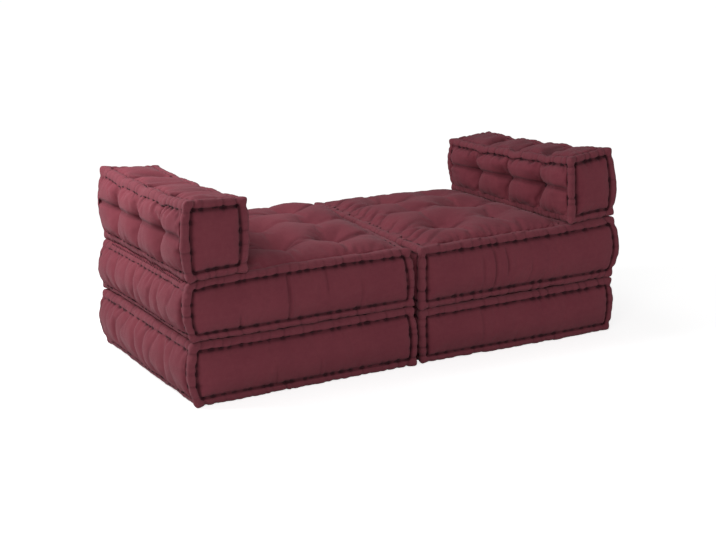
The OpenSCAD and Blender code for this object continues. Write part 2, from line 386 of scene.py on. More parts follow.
class Tree:
    """Node tree of a material or world, filled with nodes by kind."""

    def __init__(self, tree: bpy.types.NodeTree) -> None:
        """Empties a node tree to fill it anew."""
        self.tree = tree
        tree.nodes.clear()

    def node(self, kind: str, settings: Mapping[str, object], inputs: Mapping[Union[str, int], object],
             output: Union[str, int] = 0) -> Wire:
        """Adds one node.

        Args:
            kind: Type of the node.
            settings: Its settings, which are set first.
            inputs: Values or wires of its input sockets.
            output: Output to return.

        Returns:
            The output.
        """
        node = self.tree.nodes.new(kind)
        for name, value in settings.items():
            setattr(node, name, value)
        for name, value in inputs.items():
            if isinstance(value, Wire):
                self.tree.links.new(value.socket, node.inputs[name])
            elif isinstance(value, tuple) and len(value) == 3 and node.inputs[name].type == "RGBA":
                node.inputs[name].default_value = (*value, 1.0)
            else:
                node.inputs[name].default_value = value
        return Wire(self, node.outputs[output]) if node.outputs else Wire(self, None)

    def math(self, operation: str, *values: Number) -> Wire:
        """Adds a Math node."""
        return self.node("ShaderNodeMath", {"operation": operation}, dict(enumerate(values)))

    def mixed(self, share: Number, first: Union[Colour, Wire], second: Union[Colour, Wire]) -> Wire:
        """Mixes two colours by a share from 0 to 1."""
        settings = {"data_type": "RGBA"}
        return self.node("ShaderNodeMix", settings, {0: share, 6: first, 7: second}, 2)

    def attribute(self, name: str, output: str) -> Wire:
        """Reads what a mesh keeps under a name."""
        return self.node("ShaderNodeAttribute", {"attribute_name": name}, {}, output)

    def noise(self, place: Wire, scale: float, detail: float = 2.0, rough: float = 0.5) -> Wire:
        """Noise from about 0.3 to 0.7, read at a place."""
        return self.node("ShaderNodeTexNoise", {}, {"Vector": place, "Scale": scale, "Detail": detail,
                                                    "Roughness": rough}, 0)

    def stretched(self, place: Wire, scale: Sequence[float]) -> Wire:
        """Multiplies a place by a vector."""
        return self.node("ShaderNodeVectorMath", {"operation": "MULTIPLY"}, {0: place, 1: tuple(scale)}, 0)

    def relief(self, strength: float, distance: float, height: Wire) -> Wire:
        """Normal of a surface with a relief."""
        inputs = {"Strength": strength, "Distance": distance, "Height": height}
        return self.node("ShaderNodeBump", {}, inputs)

    def surface(self, inputs: Mapping[str, object]) -> None:
        """Ends the tree in a Principled surface."""
        shader = self.node("ShaderNodeBsdfPrincipled", {}, inputs)
        self.node("ShaderNodeOutputMaterial", {}, {"Surface": shader})

    def ramped(self, low: float, high: float, value: Wire) -> Wire:
        """Climbs from 0 where a value is low to 1 where it is high."""
        return self.node("ShaderNodeMapRange", {}, {"Value": value, "From Min": low, "From Max": high}, 0)


def new_material(name: str) -> tuple[bpy.types.Material, Tree]:
    """Makes an empty material and its tree."""
    material = bpy.data.materials.new(name)
    material.use_nodes = True
    return material, Tree(material.node_tree)


@dataclass(frozen=True)
class Cotton:
    """Dyed cotton canvas with slubs, patches and rubbed ridges, and shade painted into its seams, creases
    and tufts.

    Attributes:
        colour: Its colour where the dyeing took well.
        pale: Its colour where the dyeing took less.
        rubbed: Colour of the ridges that hands and floors rub.
        deep: Colour of the shade painted at the bottom of seams, creases and tufts.
        sheen: Weight of the fuzz.
        fuzz: Colour of the fuzz.
        relief: Height of the weave.
        patch_scale: How many paler-dyed patches lie on a metre.
        mottle_scale: How many mottles lie on a metre.
        warp_scale, weft_scale: How many thick places they have on a metre along X, Y and Z.
        slubs: Sum of both at which slubs begin, and at which they are full.
        uneven, evenness: Shares of patches, mottle and slubs in its paleness, and what is taken off.
        rub, grime: Share of the rubbed colour and of the painted shade's deep colour, and how much mottle
            adds.
        heights, bump: Shares of weave, slubs and mottle in the relief, and its strength.
        polish: How much smoother the mottles are.
    """

    name: str = "cover_cotton"
    colour: Colour = (0.220, 0.043, 0.063)
    pale: Colour = (0.284, 0.064, 0.084)
    rubbed: Colour = (0.235, 0.068, 0.086)
    deep: Colour = (0.030, 0.005, 0.009)
    rough: float = 0.92
    sheen: float = 0.16
    fuzz: Colour = (0.80, 0.62, 0.66)
    relief: float = 0.25 * MM
    patch_scale: float = 9.0
    mottle_scale: float = 70.0
    warp_scale: Triple = (30, 620, 620)
    weft_scale: Triple = (620, 30, 60)
    slubs: Pair = (0.62, 1.35)
    uneven: Triple = (0.45, 0.25, 0.35)
    evenness: float = 0.1
    rub: Pair = (0.1, 0.45)
    grime: Pair = (0.88, 0.12)
    heights: Triple = (0.5, 1.1, 0.5)
    bump: float = 0.55
    polish: float = 0.1
    gloss: float = 0.12
    fuzz_rough: float = 0.55

    def weave(self, tree: Tree) -> Wire:
        """Threads over and under each other, from -1 to 1."""
        threads = tree.attribute("threads", "Vector")
        rows = [tree.node("ShaderNodeSeparateXYZ", {}, {0: threads}, axis) for axis in "XYZ"]
        waves = [(math.pi * row).math("COSINE") for row in rows]
        return waves[0] * waves[1] * waves[2]

    def make(self) -> bpy.types.Material:
        """Makes the material."""
        material, tree = new_material(self.name)
        cloth = tree.attribute("cloth", "Vector")
        # The seam attribute is the amount of shade painted on each vertex, in its grooves, stitches, creases
        # and tufts
        seam = tree.attribute("seam", "Fac")
        wear = tree.attribute("wear", "Fac")
        patches = tree.ramped(0.3, 0.7, tree.noise(cloth, self.patch_scale, detail=3.0, rough=0.6))
        mottle = tree.ramped(0.25, 0.75, tree.noise(cloth, self.mottle_scale, detail=3.0, rough=0.65))
        warp = tree.noise(tree.stretched(cloth, self.warp_scale), 1.0)
        weft = tree.noise(tree.stretched(cloth, self.weft_scale), 1.0)
        slubs = tree.ramped(*self.slubs, warp + weft)
        uneven = self.uneven[0] * patches + self.uneven[1] * mottle + self.uneven[2] * slubs
        surface_colour = tree.mixed(uneven - self.evenness, self.colour, self.pale)
        surface_colour = tree.mixed(wear * (self.rub[0] + self.rub[1] * mottle), surface_colour, self.rubbed)
        # Painted shade: grooves, stitches, creases and tufts are darkened towards the deep colour by the
        # seam attribute
        surface_colour = tree.mixed(seam * (self.grime[0] + self.grime[1] * mottle), surface_colour, self.deep)
        height = self.heights[0] * self.weave(tree) + self.heights[1] * slubs + self.heights[2] * mottle
        tree.surface({
            "Base Color": surface_colour, "Roughness": self.rough - self.polish * mottle,
            "Normal": tree.relief(self.bump, self.relief, height), "Specular IOR Level": self.gloss,
            "Sheen Weight": self.sheen, "Sheen Roughness": self.fuzz_rough, "Sheen Tint": self.fuzz})
        return material


@dataclass(frozen=True)
class Twine:
    """Waxed cotton twine.

    Attributes:
        waxed: Its colour where the wax is thick.
        strand_scale: How many strands lie on a metre.
        rough, polish: Roughness, and how much smoother it is where the wax is thick.
    """

    name: str = "twine"
    colour: Colour = (0.032, 0.005, 0.010)
    waxed: Colour = (0.075, 0.016, 0.026)
    strand_scale: float = 900.0
    relief: float = 0.3 * MM
    bump: float = 0.6
    rough: float = 0.75
    polish: float = 0.2
    gloss: float = 0.3

    def make(self) -> bpy.types.Material:
        """Makes the material."""
        material, tree = new_material(self.name)
        place = tree.node("ShaderNodeTexCoord", {}, {}, "Object")
        strands = tree.ramped(0.35, 0.65, tree.noise(place, self.strand_scale))
        surface_colour = tree.mixed(strands, self.colour, self.waxed)
        tree.surface({"Base Color": surface_colour, "Roughness": self.rough - self.polish * strands,
                      "Normal": tree.relief(self.bump, self.relief, strands),
                      "Specular IOR Level": self.gloss})
        return material


@dataclass(frozen=True)
class Batting:
    """Layered cotton batting.

    Attributes:
        white: Colour of clean fibres.
        grey: Colour of the spaces between them.
        seed_hulls: Colour of the bits of seed hull among them.
        fibre_scale: How many fibres lie on a metre along X, Y and Z.
        hull_scale: How many bits of seed hull may lie on a metre.
    """

    name: str = "batting"
    white: Colour = (0.74, 0.70, 0.61)
    grey: Colour = (0.60, 0.56, 0.48)
    seed_hulls: Colour = (0.30, 0.22, 0.13)
    fibre_scale: Triple = (90, 90, 700)
    hull_scale: float = 260.0
    relief: float = 1.5 * MM
    bump: float = 0.8
    rough: float = 0.97
    gloss: float = 0.1

    def make(self) -> bpy.types.Material:
        """Makes the material."""
        material, tree = new_material(self.name)
        place = tree.node("ShaderNodeTexCoord", {}, {}, "Object")
        fibres = tree.noise(tree.stretched(place, self.fibre_scale), 1.0, detail=4.0, rough=0.7)
        specks = tree.ramped(0.68, 0.76, tree.noise(place, self.hull_scale, detail=1.0))
        shade = tree.mixed(tree.ramped(0.2, 0.8, fibres), self.grey, self.white)
        shade = tree.mixed(specks, shade, self.seed_hulls)
        tree.surface({"Base Color": shade, "Roughness": self.rough, "Specular IOR Level": self.gloss,
                      "Normal": tree.relief(self.bump, self.relief, fibres)})
        return material


@dataclass(frozen=True)
class Stuffing:
    """Cloth simulation that blows the panels of a cushion up between what holds them.

    Attributes:
        mass: Mass of the cloth at each vertex.
        last_frame: Frame at which the cloth is taken.
        quality: Steps of the simulation in a frame.
        stretch, shear, bend: Stiffness against each.
        damping: Damping of all but the bending.
        cap: Furthest that a point may move.
    """

    pressure: float = 75.0
    mass: float = 0.002
    last_frame: int = 20
    quality: int = 4
    stretch: float = 25.0
    shear: float = 25.0 / 3
    bend: float = 0.1
    damping: float = 1.0
    bend_damping: float = 0.1
    cap: float = 24 * MM

    def prepare(self, shell: bpy.types.Object, hold: Values, spare: Values, most_spare: float) -> None:
        """Puts the cloth simulation on a shell.

        Args:
            shell: The cushion's shell.
            hold: How firmly each vertex is held in place, from 0 to 1.
            spare: Share of the most spare cloth that each vertex has.
            most_spare: Most spare cloth, as a share of the length.
        """
        for name, weights in (("hold", hold), ("tight", 1 - spare)):
            group = shell.vertex_groups.new(name=name)
            steps = np.round(weights, 2)
            for step in np.unique(steps[steps > 0]):
                group.add(np.flatnonzero(steps == step).tolist(), float(step), "REPLACE")
        cloth = shell.modifiers.new("stuffing", "CLOTH")
        made = cloth.settings
        made.quality = self.quality
        made.mass = self.mass
        made.tension_stiffness = made.compression_stiffness = self.stretch
        made.shear_stiffness = self.shear
        made.bending_stiffness = self.bend
        made.tension_damping = made.compression_damping = made.shear_damping = self.damping
        made.bending_damping = self.bend_damping
        made.air_damping = self.damping
        made.vertex_group_mass = "hold"
        made.pin_stiffness = 1.0
        made.vertex_group_shrink = "tight"
        made.shrink_min = -most_spare
        made.shrink_max = 0.0
        made.use_pressure = True
        made.uniform_pressure_force = self.pressure
        made.effector_weights.gravity = 0.0
        cloth.collision_settings.use_collision = False
        cloth.collision_settings.use_self_collision = False
        cloth.point_cache.frame_start = 1
        cloth.point_cache.frame_end = self.last_frame

    def run(self, shells: Sequence[bpy.types.Object]) -> None:
        """Steps the simulation of all shells together and applies it.

        Args:
            shells: Shells that prepare() has been called on.
        """
        scene = bpy.context.scene
        for number in range(1, self.last_frame + 1):
            scene.frame_set(number)
        graph = bpy.context.evaluated_depsgraph_get()
        ends = [get_points(shell.evaluated_get(graph).data) for shell in shells]
        for shell, end in zip(shells, ends):
            start = get_points(shell.data)
            move = end - start
            far = np.linalg.norm(move, axis=1)
            LOG.info("%s swells by %.1f mm at most, %.1f mm on average", shell.name, far.max() / MM,
                     far.mean() / MM)
            shell.modifiers.clear()
            shell.vertex_groups.clear()
            set_points(shell.data, start + move * np.minimum(1, self.cap / np.maximum(far, TINY))[:, None])
        scene.frame_set(1)


@dataclass(frozen=True)
class Fold:
    """A slack upright crease in a front panel.

    Attributes:
        share: Place of the crease along the panel.
        foot, head: Lower and upper end, as shares of the height.
        width: Half-width of the crease.
        sway: How far it strays from upright.
        lip: Height of the lip beside it, as a share of the depth.
        soft: Share of the height over which both ends run out.
    """

    share: float
    foot: float
    head: float
    depth: float = 4 * MM
    width: float = 3.6 * MM
    sway: float = 3 * MM
    lip: float = 0.6
    soft: Pair = (0.12, 0.08)

    def inward(self, a: Values, b: Values, length: float, height: float) -> Values:
        """How far the crease draws the panel in at the places a and b along its sides."""
        up = b / height
        along = a - self.share * length - self.sway * np.sin(3 * up)
        outside, inside = self.soft
        above_foot = smooth(self.foot - outside, self.foot + inside, up)
        below_head = 1 - smooth(self.head - inside, self.head + outside, up)
        lip = bell(along - 2 * self.width, self.width)
        return self.depth * (bell(along, self.width) - self.lip * lip) * above_foot * below_head


@dataclass(frozen=True)
class Tuft:
    """Place where the twine comes through the cover, along the first and second side of a face."""

    face: Face
    a: float
    b: float


@dataclass(frozen=True)
class Seams:
    """Where points of a cushion's cloth lie beside its edges.

    Attributes:
        edge: Number of the nearest of the twelve edges.
        along: Place along that edge, from its low end.
        off: Distance along the cloth from the ridge of that edge.
        corner: Distance along the edge from its nearer end.
    """

    edge: np.ndarray
    along: Values
    off: Values
    corner: Values


@dataclass(frozen=True)
class Sewing:
    """What the stitches and the stuffing do to the finished cloth.

    Attributes:
        pinch, pinch_w: Depth and half-width of a stitch's pinch in the roll.
        pinch_fade: Distance over which it fades in the panel.
        pinch_share: Share of it that reaches the ridge of the roll.
        bulge: How far the roll bulges between two stitches.
        gather_w: Half-width of the gather that runs from a stitch into the panel.
        gather_start, gather_fade: Distances over which it grows and fades.
        cut, cut_w: How much deeper the stitching draws the groove, and over what half-width.
        line_w, dash_w: Half-widths of the painted shade along the groove and of a stitch's darker painted
            dash on it.
        pucker_w, thread_w: Half-widths of the painted shade beside the groove and under a thread.
        lump_pitch, knuckle_pitch, sag_pitch: Distances between lumps, knuckles and wide hollows.
        smudge_pitch: Distance between places where the groove's painted shade is darker.
        roll_lump, panel_lump: Height of the lumps on a roll and in a panel.
        knuckle, sag: Height of the knuckles, and depth of the hollows.
        crease_shade, dark_crease: How dark the painted shade of a crease is at its darkest, and the crease's
            depth there.
    """

    pinch: float = 4 * MM
    pinch_w: float = 4.5 * MM
    pinch_fade: float = 7 * MM
    pinch_share: float = 0.45
    bulge: float = 1.3 * MM
    gather_w: float = 8.5 * MM
    gather_start: float = 8 * MM
    gather_fade: float = 42 * MM
    cut: float = 2.5 * MM
    cut_w: float = 4.5 * MM
    line_w: float = 4.2 * MM
    dash_w: float = 11 * MM
    pucker_w: float = 8 * MM
    thread_w: float = 2.6 * MM
    lump_pitch: float = 75 * MM
    knuckle_pitch: float = 24 * MM
    sag_pitch: float = 170 * MM
    smudge_pitch: float = 60 * MM
    roll_lump: float = 1.2 * MM
    knuckle: float = 0.45 * MM
    panel_lump: float = 0.6 * MM
    sag: float = 1.1 * MM
    crease_shade: float = 0.42
    dark_crease: float = 4 * MM


@dataclass(frozen=True)
class Spots:
    """What is known of the vertices of a finished shell.

    Attributes:
        seams: Where they lie beside the edges.
        on_roll: Which of them lie on a roll.
        beyond: Their distances from the groove into the panel.
        toward: Their shares of the way from ridge to groove.
        pinch: How strongly a stitch pinches them.
        flat: Which of them are pressed flat.
        gathering: Depth of the gathers.
        shade, cut: How dark the groove's painted shade is, and its share of the full depth.
    """

    seams: Seams
    on_roll: np.ndarray
    beyond: Values
    toward: Values
    pinch: Values
    flat: np.ndarray
    gathering: Values
    shade: Values
    cut: Values


BATTING_ROLL = Roll(radius=18 * MM, turn_deg=45, steps=4)
STITCH_HALF = (6.5 * MM, 10 * MM)
STITCH_STOPS = np.array([-1.0, -0.8, -0.3, 0.3, 0.8, 1.0])
STITCH_HEIGHTS = np.array([-1.4, 0.6, 1.2, 1.2, 0.6, -1.4]) * MM
STITCH_SHARES = np.array([0.5, 0.9, 1, 1, 0.9, 0.5])
TAIL_REACHES = np.array([0.0, 0.6, 1.3, 1.9])
TAIL_LIFTS = np.array([0.5, 1.0, 1.3, 1.1])
TAIL_SHARES = np.array([1, 0.95, 0.9, 0.8])
GATHERING = {Face.OUTER: 3.2 * MM, Face.INNER: 2.8 * MM, Face.FRONT: 0.8 * MM, Face.REAR: 1.2 * MM,
             Face.BOTTOM: 3.4 * MM, Face.TOP: 3.4 * MM}
GROOVE_SHARES = {Face.OUTER: 0.5, Face.TOP: 0.6, Face.INNER: 0.8}
# How dark the shade painted in the grooves of each face is, END_SHADE where a face is not listed
GROOVE_SHADES = {Face.OUTER: 0.3, Face.TOP: 0.35, Face.INNER: 0.6}
END_SHADE = 0.8


@dataclass
class Cushion:
    """A stuffed cushion of a module, in the module's own frame.

    The frame has its origin at the outer front corner on the floor, X towards the other module and Y towards
    the rear. The right module is the left one mirrored.

    Attributes:
        part: What the cushion is called in the frame's names.
        size: Length, depth and height of its plain box.
        lift: Height of its underside.
        seed: Seed of its random draws.
        pitch: Distance between grid lines on its panels.
        spare: Most spare cloth in its panels, as a share of the length.
        outer_bow, inner_bow, end_bow: How far the corner seams bow out, end_bow at front and rear.
        draw_in: How far each edge is drawn in between its corners.
        inner_draw: The same for the inner edges where they differ.
        panel_crown: Swell of the smooth panels.
        ear: How far the corner knots stand out.
        stitch_pitch: Distance between two stitches along a roll.
        stray: How far a stitch strays from its place, as a share of that distance.
        sewing: What the stitches do to the cloth.
        tuft_shares: Places of the tufts along a side.
        dimple, dimple_r: Depth and radius of the tufts of a flat face.
        knot: Radius of the knots of the tufting twine.
        dark_tuft, dark_tuft_r: How dark the shade painted in a tuft is, and its radius.
        groove_stray: Least share of its depth that a wandering groove keeps.
        waver: How far the whole cushion wavers.
        folds: Slack creases in its front panel.
        flat_faces: Faces that are pressed flat by what lies under or on them.
        top_rope: How much more the rolls round the top and the upright ones at the rear bulge.
    """

    side: Side
    part: str
    size: Triple
    lift: float
    seed: int
    pitch: float = 10 * MM
    spare: float = 0.05
    roll: Roll = field(default_factory=Roll)
    outer_bow: float = 14 * MM
    inner_bow: float = 8 * MM
    end_bow: float = 12 * MM
    draw_in: float = 4 * MM
    inner_draw: Union[float, None] = None
    panel_crown: float = 3 * MM
    ear: float = 5.5 * MM
    stitch_pitch: float = 31 * MM
    stray: float = 0.32
    sewing: Sewing = Sewing()
    tuft_shares: tuple[float, ...] = (1 / 4, 1 / 2, 3 / 4)
    dimple: float = 9 * MM
    dimple_r: float = 23.4 * MM
    knot: float = 4.2 * MM
    dark_tuft: float = 0.85
    dark_tuft_r: float = 11 * MM
    groove_stray: float = 0.25
    waver: float = 1.5 * MM
    folds: tuple[Fold, ...] = ()
    flat_faces: tuple[Face, ...] = (Face.BOTTOM,)
    top_rope: float = 1.0

    # Share of the most spare cloth that each panel has
    SLACK = {Face.OUTER: 1.0, Face.INNER: 0.8, Face.FRONT: 0.25, Face.REAR: 0.3}

    def __post_init__(self) -> None:
        """Works out the grid lines and the places of the stitches."""
        self.axes = [Axis(length, self.pitch, self.roll) for length in self.size]
        self.cloth_size = np.array([axis.cloth_length for axis in self.axes])
        rng = np.random.default_rng(self.seed)
        self.stitches = []
        self.puckers = []
        self.rope = rng.uniform(0.75, 1.15, EDGES) * np.where(np.arange(EDGES) % 2 == 1, self.top_rope, 1.0)
        corner = 2.4 * self.roll.radius
        for edge in range(EDGES):
            length = self.cloth_size[edge // 4]
            count = max(2, round((length - 2 * corner) / self.stitch_pitch))
            even = np.linspace(corner, length - corner, count + 1)
            even[1:-1] += rng.uniform(-self.stray, self.stray, count - 1) * self.stitch_pitch
            self.stitches.append(even)
            self.puckers.append(rng.uniform(0.15, 1.0, count + 1))

    @property
    def name(self) -> str:
        """Name of the cushion, with its module's side."""
        return f"{self.side.label}_{self.part}"

    def groove_shares(self, face: Face) -> Values:
        """Share of its full depth that the groove of a face has beside each of the twelve rolls."""
        shares = np.full(EDGES, GROOVE_SHARES.get(face, 1.0))
        for edge, (share, _) in self.filled(face).items():
            shares[edge] = share
        return shares

    def groove_shades(self, face: Face) -> Values:
        """How dark the shade painted in the groove of a face is, between its stitches, beside each of the
        twelve rolls.
        """
        shades = np.full(EDGES, GROOVE_SHADES.get(face, END_SHADE))
        if face is Face.OUTER:
            shades[Edge.OUTER_FRONT:] /= 2
        for edge, (_, shade) in self.filled(face).items():
            shades[edge] = shade
        return shades

    def filled(self, face: Face) -> Mapping[Edge, Pair]:
        """Grooves that a face's stuffing fills: their share of the full depth, and how dark their painted
        shade is.
        """
        return {}

    def wander(self, face: Face, plain: Points) -> Values:
        """How far the grooves of a face have kept their depth at points of the plain box, up to 1."""
        if face is not Face.OUTER:
            return np.ones(len(plain))
        share = smooth(-0.5, 0.6, Ripple(150 * MM, self.seed + 71)(plain))
        return self.groove_stray + (1 - self.groove_stray) * share

    def beside(self, face: Face, cloth: Points, values: Values) -> Values:
        """Values of the rolls round a face at points on it, blended where two rolls meet.

        Args:
            face: The face.
            cloth: Points on it, as places along the cloth.
            values: Value of each of the twelve rolls.

        Returns:
            A value for each point.
        """
        near = np.minimum(cloth, self.cloth_size - cloth)
        high = (cloth > self.cloth_size / 2).astype(int)
        total, weights = np.zeros(len(cloth)), np.zeros(len(cloth))
        for run in face.sides:
            first, second = [n for n in range(3) if n != run]
            weight = near[:, run] ** 2 + TINY
            total += weight * values[run * 4 + high[:, first] * 2 + high[:, second]]
            weights += weight
        return total / weights

    def on_face(self, cloth: Points, face: Face) -> np.ndarray:
        """Which points lie on a face of the box."""
        axis, end = face.value
        return np.abs(cloth[:, axis] - end * self.cloth_size[axis]) < NEAR

    def seams(self, cloth: Points) -> Seams:
        """Where points of the cloth lie beside the edges.

        Args:
            cloth: Points on the box, as places along the cloth.

        Returns:
            Their nearest edges and their places beside them.
        """
        near = np.minimum(cloth, self.cloth_size - cloth)
        order = np.argsort(near, axis=1, kind="stable")
        rows = np.arange(len(cloth))
        run = order[:, 2]
        high = (cloth > self.cloth_size / 2).astype(int)
        first = np.where(run == 0, 1, 0)
        second = np.where(run == 2, 1, 2)
        edge = run * 4 + high[rows, first] * 2 + high[rows, second]
        return Seams(edge, cloth[rows, run], near[rows, order[:, 1]], near[rows, run])

    def panel_share(self, place: Values, side: int) -> Values:
        """Place between the rolls at the ends of a side, from 0 to 1."""
        return (place - 2 * self.roll.radius) / (self.size[side] - 4 * self.roll.radius)

    def rise(self, face: Face, a: Values, b: Values) -> Values:
        """How far a panel stands out of the plain box, at the places a and b along its two sides."""
        if face in (Face.FRONT, Face.REAR):
            return plateau(self.panel_share(a, 0)) * arch(b / self.size[2]) * self.panel_crown
        return -self.dimple * self.near_tuft(face, a, b, self.dimple_r)

    def crease(self, face: Face, a: Values, b: Values) -> Values:
        """How far a panel is drawn in along its creases after it has swollen."""
        made = np.zeros_like(a)
        for fold in self.folds if face is Face.FRONT else ():
            made += fold.inward(a, b, self.size[0], self.size[2])
        return made

    def hold(self, face: Face, a: Values, b: Values) -> Values:
        """How firmly a panel is held while it swells, from 0 to 1."""
        return np.full_like(a, 1.0 if face in self.flat_faces else 0.0)

    def upright_runs(self) -> list[tuple[Tuft, Tuft]]:
        """Ends of the twine's runs from the underside to the top."""
        return [tuple(Tuft(face, a * self.size[0], b * self.size[1]) for face in (Face.BOTTOM, Face.TOP))
                for a in self.tuft_shares for b in self.tuft_shares]

    def runs(self) -> list[tuple[Tuft, Tuft]]:
        """Ends of the twine's runs through the cushion."""
        return self.upright_runs()

    def tuft_line(self, along: Values, length: float, radius: float) -> Values:
        """Highest of the bells that stand at the tufts' places along one side."""
        return np.max([bell(along - share * length, radius) for share in self.tuft_shares], axis=0)

    def near_tuft(self, face: Face, a: Values, b: Values, radius: float) -> Values:
        """Highest of the bells that stand at the tufts of a face."""
        made = np.zeros_like(a)
        for tuft in (end for run in self.runs() for end in run):
            if tuft.face is face:
                made = np.maximum(made, bell(np.hypot(a - tuft.a, b - tuft.b), radius))
        return made

    def plain(self, cloth: Points) -> Points:
        """Places in the plain box of points of the cloth."""
        return np.stack([axis.place(cloth[:, n]) for n, axis in enumerate(self.axes)], axis=1)

    def form(self, cloth: Points) -> Points:
        """Places of points of the cloth on the stuffed form, in the module's frame.

        Args:
            cloth: Points on the box, as places along the cloth.

        Returns:
            Their places.
        """
        plain = self.plain(cloth)
        near = np.minimum(cloth, self.cloth_size - cloth)
        placed = plain.copy()
        for face in Face:
            axis, end = face.value
            first, second = face.sides
            here = self.on_face(cloth, face)
            off = np.minimum(near[here, first], near[here, second])
            rise = self.rise(face, plain[here, first], plain[here, second])
            rise = rise * smooth(self.roll.groove, self.roll.groove + self.roll.puff, off)
            shares = self.beside(face, cloth[here], self.groove_shares(face))
            inward = self.roll.depth(off, shares * self.wander(face, plain[here])) - rise
            placed[here, axis] = self.size[axis] - inward if end else inward
        return self.warp(placed)

    def warp(self, placed: Points) -> Points:
        """Bows and draws in the edges of the form, and lifts it to its height."""
        share = placed / np.array(self.size)
        out = placed + np.array([0, 0, self.lift])
        swell = arch(np.clip(share[:, 2], 0, 1))
        wander = Ripple(450 * MM, self.seed)
        out[:, 0] += swell * (self.inner_bow * share[:, 0] - self.outer_bow * (1 - share[:, 0]))
        out[:, 1] += swell * self.end_bow * (2 * share[:, 1] - 1)
        inner_draw = self.draw_in if self.inner_draw is None else self.inner_draw
        out[:, 0] += (self.draw_in * (1 - share[:, 0]) - inner_draw * share[:, 0]) * arch(share[:, 1])
        out[:, 1] -= self.draw_in * (2 * share[:, 1] - 1) * arch(share[:, 0])
        out[:, :2] += self.waver * np.stack([wander(out), wander(out + 1)], axis=1)
        return out

    def per_face(self, cloth: Points, what: str) -> Values:
        """Values of one of the cushion's face functions at every point, 0 on the rolls.

        Args:
            cloth: Points on the box.
            what: Name of the method that gives the values of one face.

        Returns:
            The values.
        """
        plain = self.plain(cloth)
        values = np.zeros(len(cloth))
        for face in Face:
            first, second = face.sides
            here = self.on_face(cloth, face)
            values[here] = getattr(self, what)(face, plain[here, first], plain[here, second])
        return values * (self.seams(cloth).off > self.roll.groove + TINY)

    def start_shell(self) -> bpy.types.Object:
        """Makes the shell before it swells, in the module's frame."""
        cloth, quads = box_grid([axis.lines() for axis in self.axes])
        shell = make_object(f"{self.name}_cushion", self.form(cloth), quads)
        set_vector(shell.data, "cloth", cloth)
        set_vector(shell.data, "threads", cloth * np.round(self.cloth_size / THREAD_PITCH) / self.cloth_size)
        self.shell = shell
        hold = self.per_face(cloth, "hold")
        hold[self.seams(cloth).off <= self.roll.groove + TINY] = 1
        spare = np.zeros(len(cloth))
        for face in Face:
            spare[self.on_face(cloth, face)] = self.SLACK.get(face, 0.0)
        self.weights = (np.clip(hold, 0, 1), spare)
        return shell

    def refine(self) -> None:
        """Smooths the swollen shell to twice its grid."""
        shell = self.shell
        finer = shell.modifiers.new("finer", "SUBSURF")
        finer.levels = finer.render_levels = 1
        graph = bpy.context.evaluated_depsgraph_get()
        made = bpy.data.meshes.new_from_object(shell.evaluated_get(graph), preserve_all_data_layers=True,
                                               depsgraph=graph)
        shell.modifiers.clear()
        shell.data = made
        made.name = shell.name
        made.polygons.foreach_set("use_smooth", [True] * len(made.polygons))

    def pinched(self, seams: Seams, width: float) -> Values:
        """How strongly the nearest stitch pinches each point, from 0 to 1."""
        made = np.zeros(len(seams.along))
        for edge in range(EDGES):
            here = seams.edge == edge
            far = np.abs(seams.along[here][:, None] - self.stitches[edge][None, :])
            made[here] = (bell(far, width) * self.puckers[edge]).max(axis=1)
        return made

    def spots(self, cloth: Points) -> Spots:
        """Gathers what is known of the vertices of the finished shell."""
        seams = self.seams(cloth)
        gathering, shade, cut = np.zeros(len(cloth)), np.ones(len(cloth)), np.ones(len(cloth))
        flat = np.zeros(len(cloth), bool)
        for face in Face:
            here = self.on_face(cloth, face)
            gathering[here] = GATHERING[face]
            kept = self.wander(face, self.plain(cloth[here]))
            shade[here] = self.beside(face, cloth[here], self.groove_shades(face)) * kept
            cut[here] = self.beside(face, cloth[here], self.groove_shares(face)) * kept
            flat |= here & (face in self.flat_faces)
        groove = self.roll.groove
        pinch = self.rope[seams.edge] * self.pinched(seams, self.sewing.pinch_w)
        return Spots(seams, seams.off <= groove + TINY, np.maximum(seams.off - groove, 0),
                     np.clip(seams.off / groove, 0, 1), pinch, flat, gathering, shade, cut)

    def puckered(self, spots: Spots) -> Values:
        """How far the stitches move each vertex outwards."""
        sewing, beyond = self.sewing, spots.beyond
        free = smooth(1.6 * self.roll.radius, 3 * self.roll.radius, spots.seams.corner)
        wide = self.pinched(spots.seams, sewing.gather_w)
        drawn = sewing.pinch * spots.pinch * spots.cut
        ridge = sewing.pinch_share
        move = np.where(spots.on_roll, -drawn * (ridge + (1 - ridge) * spots.toward ** 2),
                        -drawn * np.exp(-beyond / sewing.pinch_fade))
        bulge = sewing.bulge * self.rope[spots.seams.edge] * (0.4 - wide) * (1 - spots.toward ** 2)
        gather = spots.gathering * (0.35 - wide) * np.exp(-beyond / sewing.gather_fade)
        gather = gather * smooth(0, sewing.gather_start, beyond)
        move += np.where(spots.on_roll, bulge, gather) * free
        return move - sewing.cut * spots.cut * bell(spots.seams.off - self.roll.groove, sewing.cut_w)

    def lumpy(self, spots: Spots, points: Points) -> Values:
        """How far the stuffing's lumps and hollows move each vertex outwards."""
        sewing = self.sewing
        lumps = Ripple(sewing.lump_pitch, self.seed + 1)(points)
        knuckles = Ripple(sewing.knuckle_pitch, self.seed + 2)(points)
        sag = Ripple(sewing.sag_pitch, self.seed + 3)(points)
        on_panel = (sewing.sag * sag + sewing.panel_lump * lumps) * smooth(0, 40 * MM, spots.beyond)
        return np.where(spots.on_roll, sewing.roll_lump * lumps + sewing.knuckle * knuckles, on_panel)

    def darkness(self, spots: Spots, points: Points) -> Values:
        """How much shade is painted at each vertex in the grooves, at the stitches and across the rolls,
        from 0 to 1.
        """
        sewing, seams = self.sewing, spots.seams
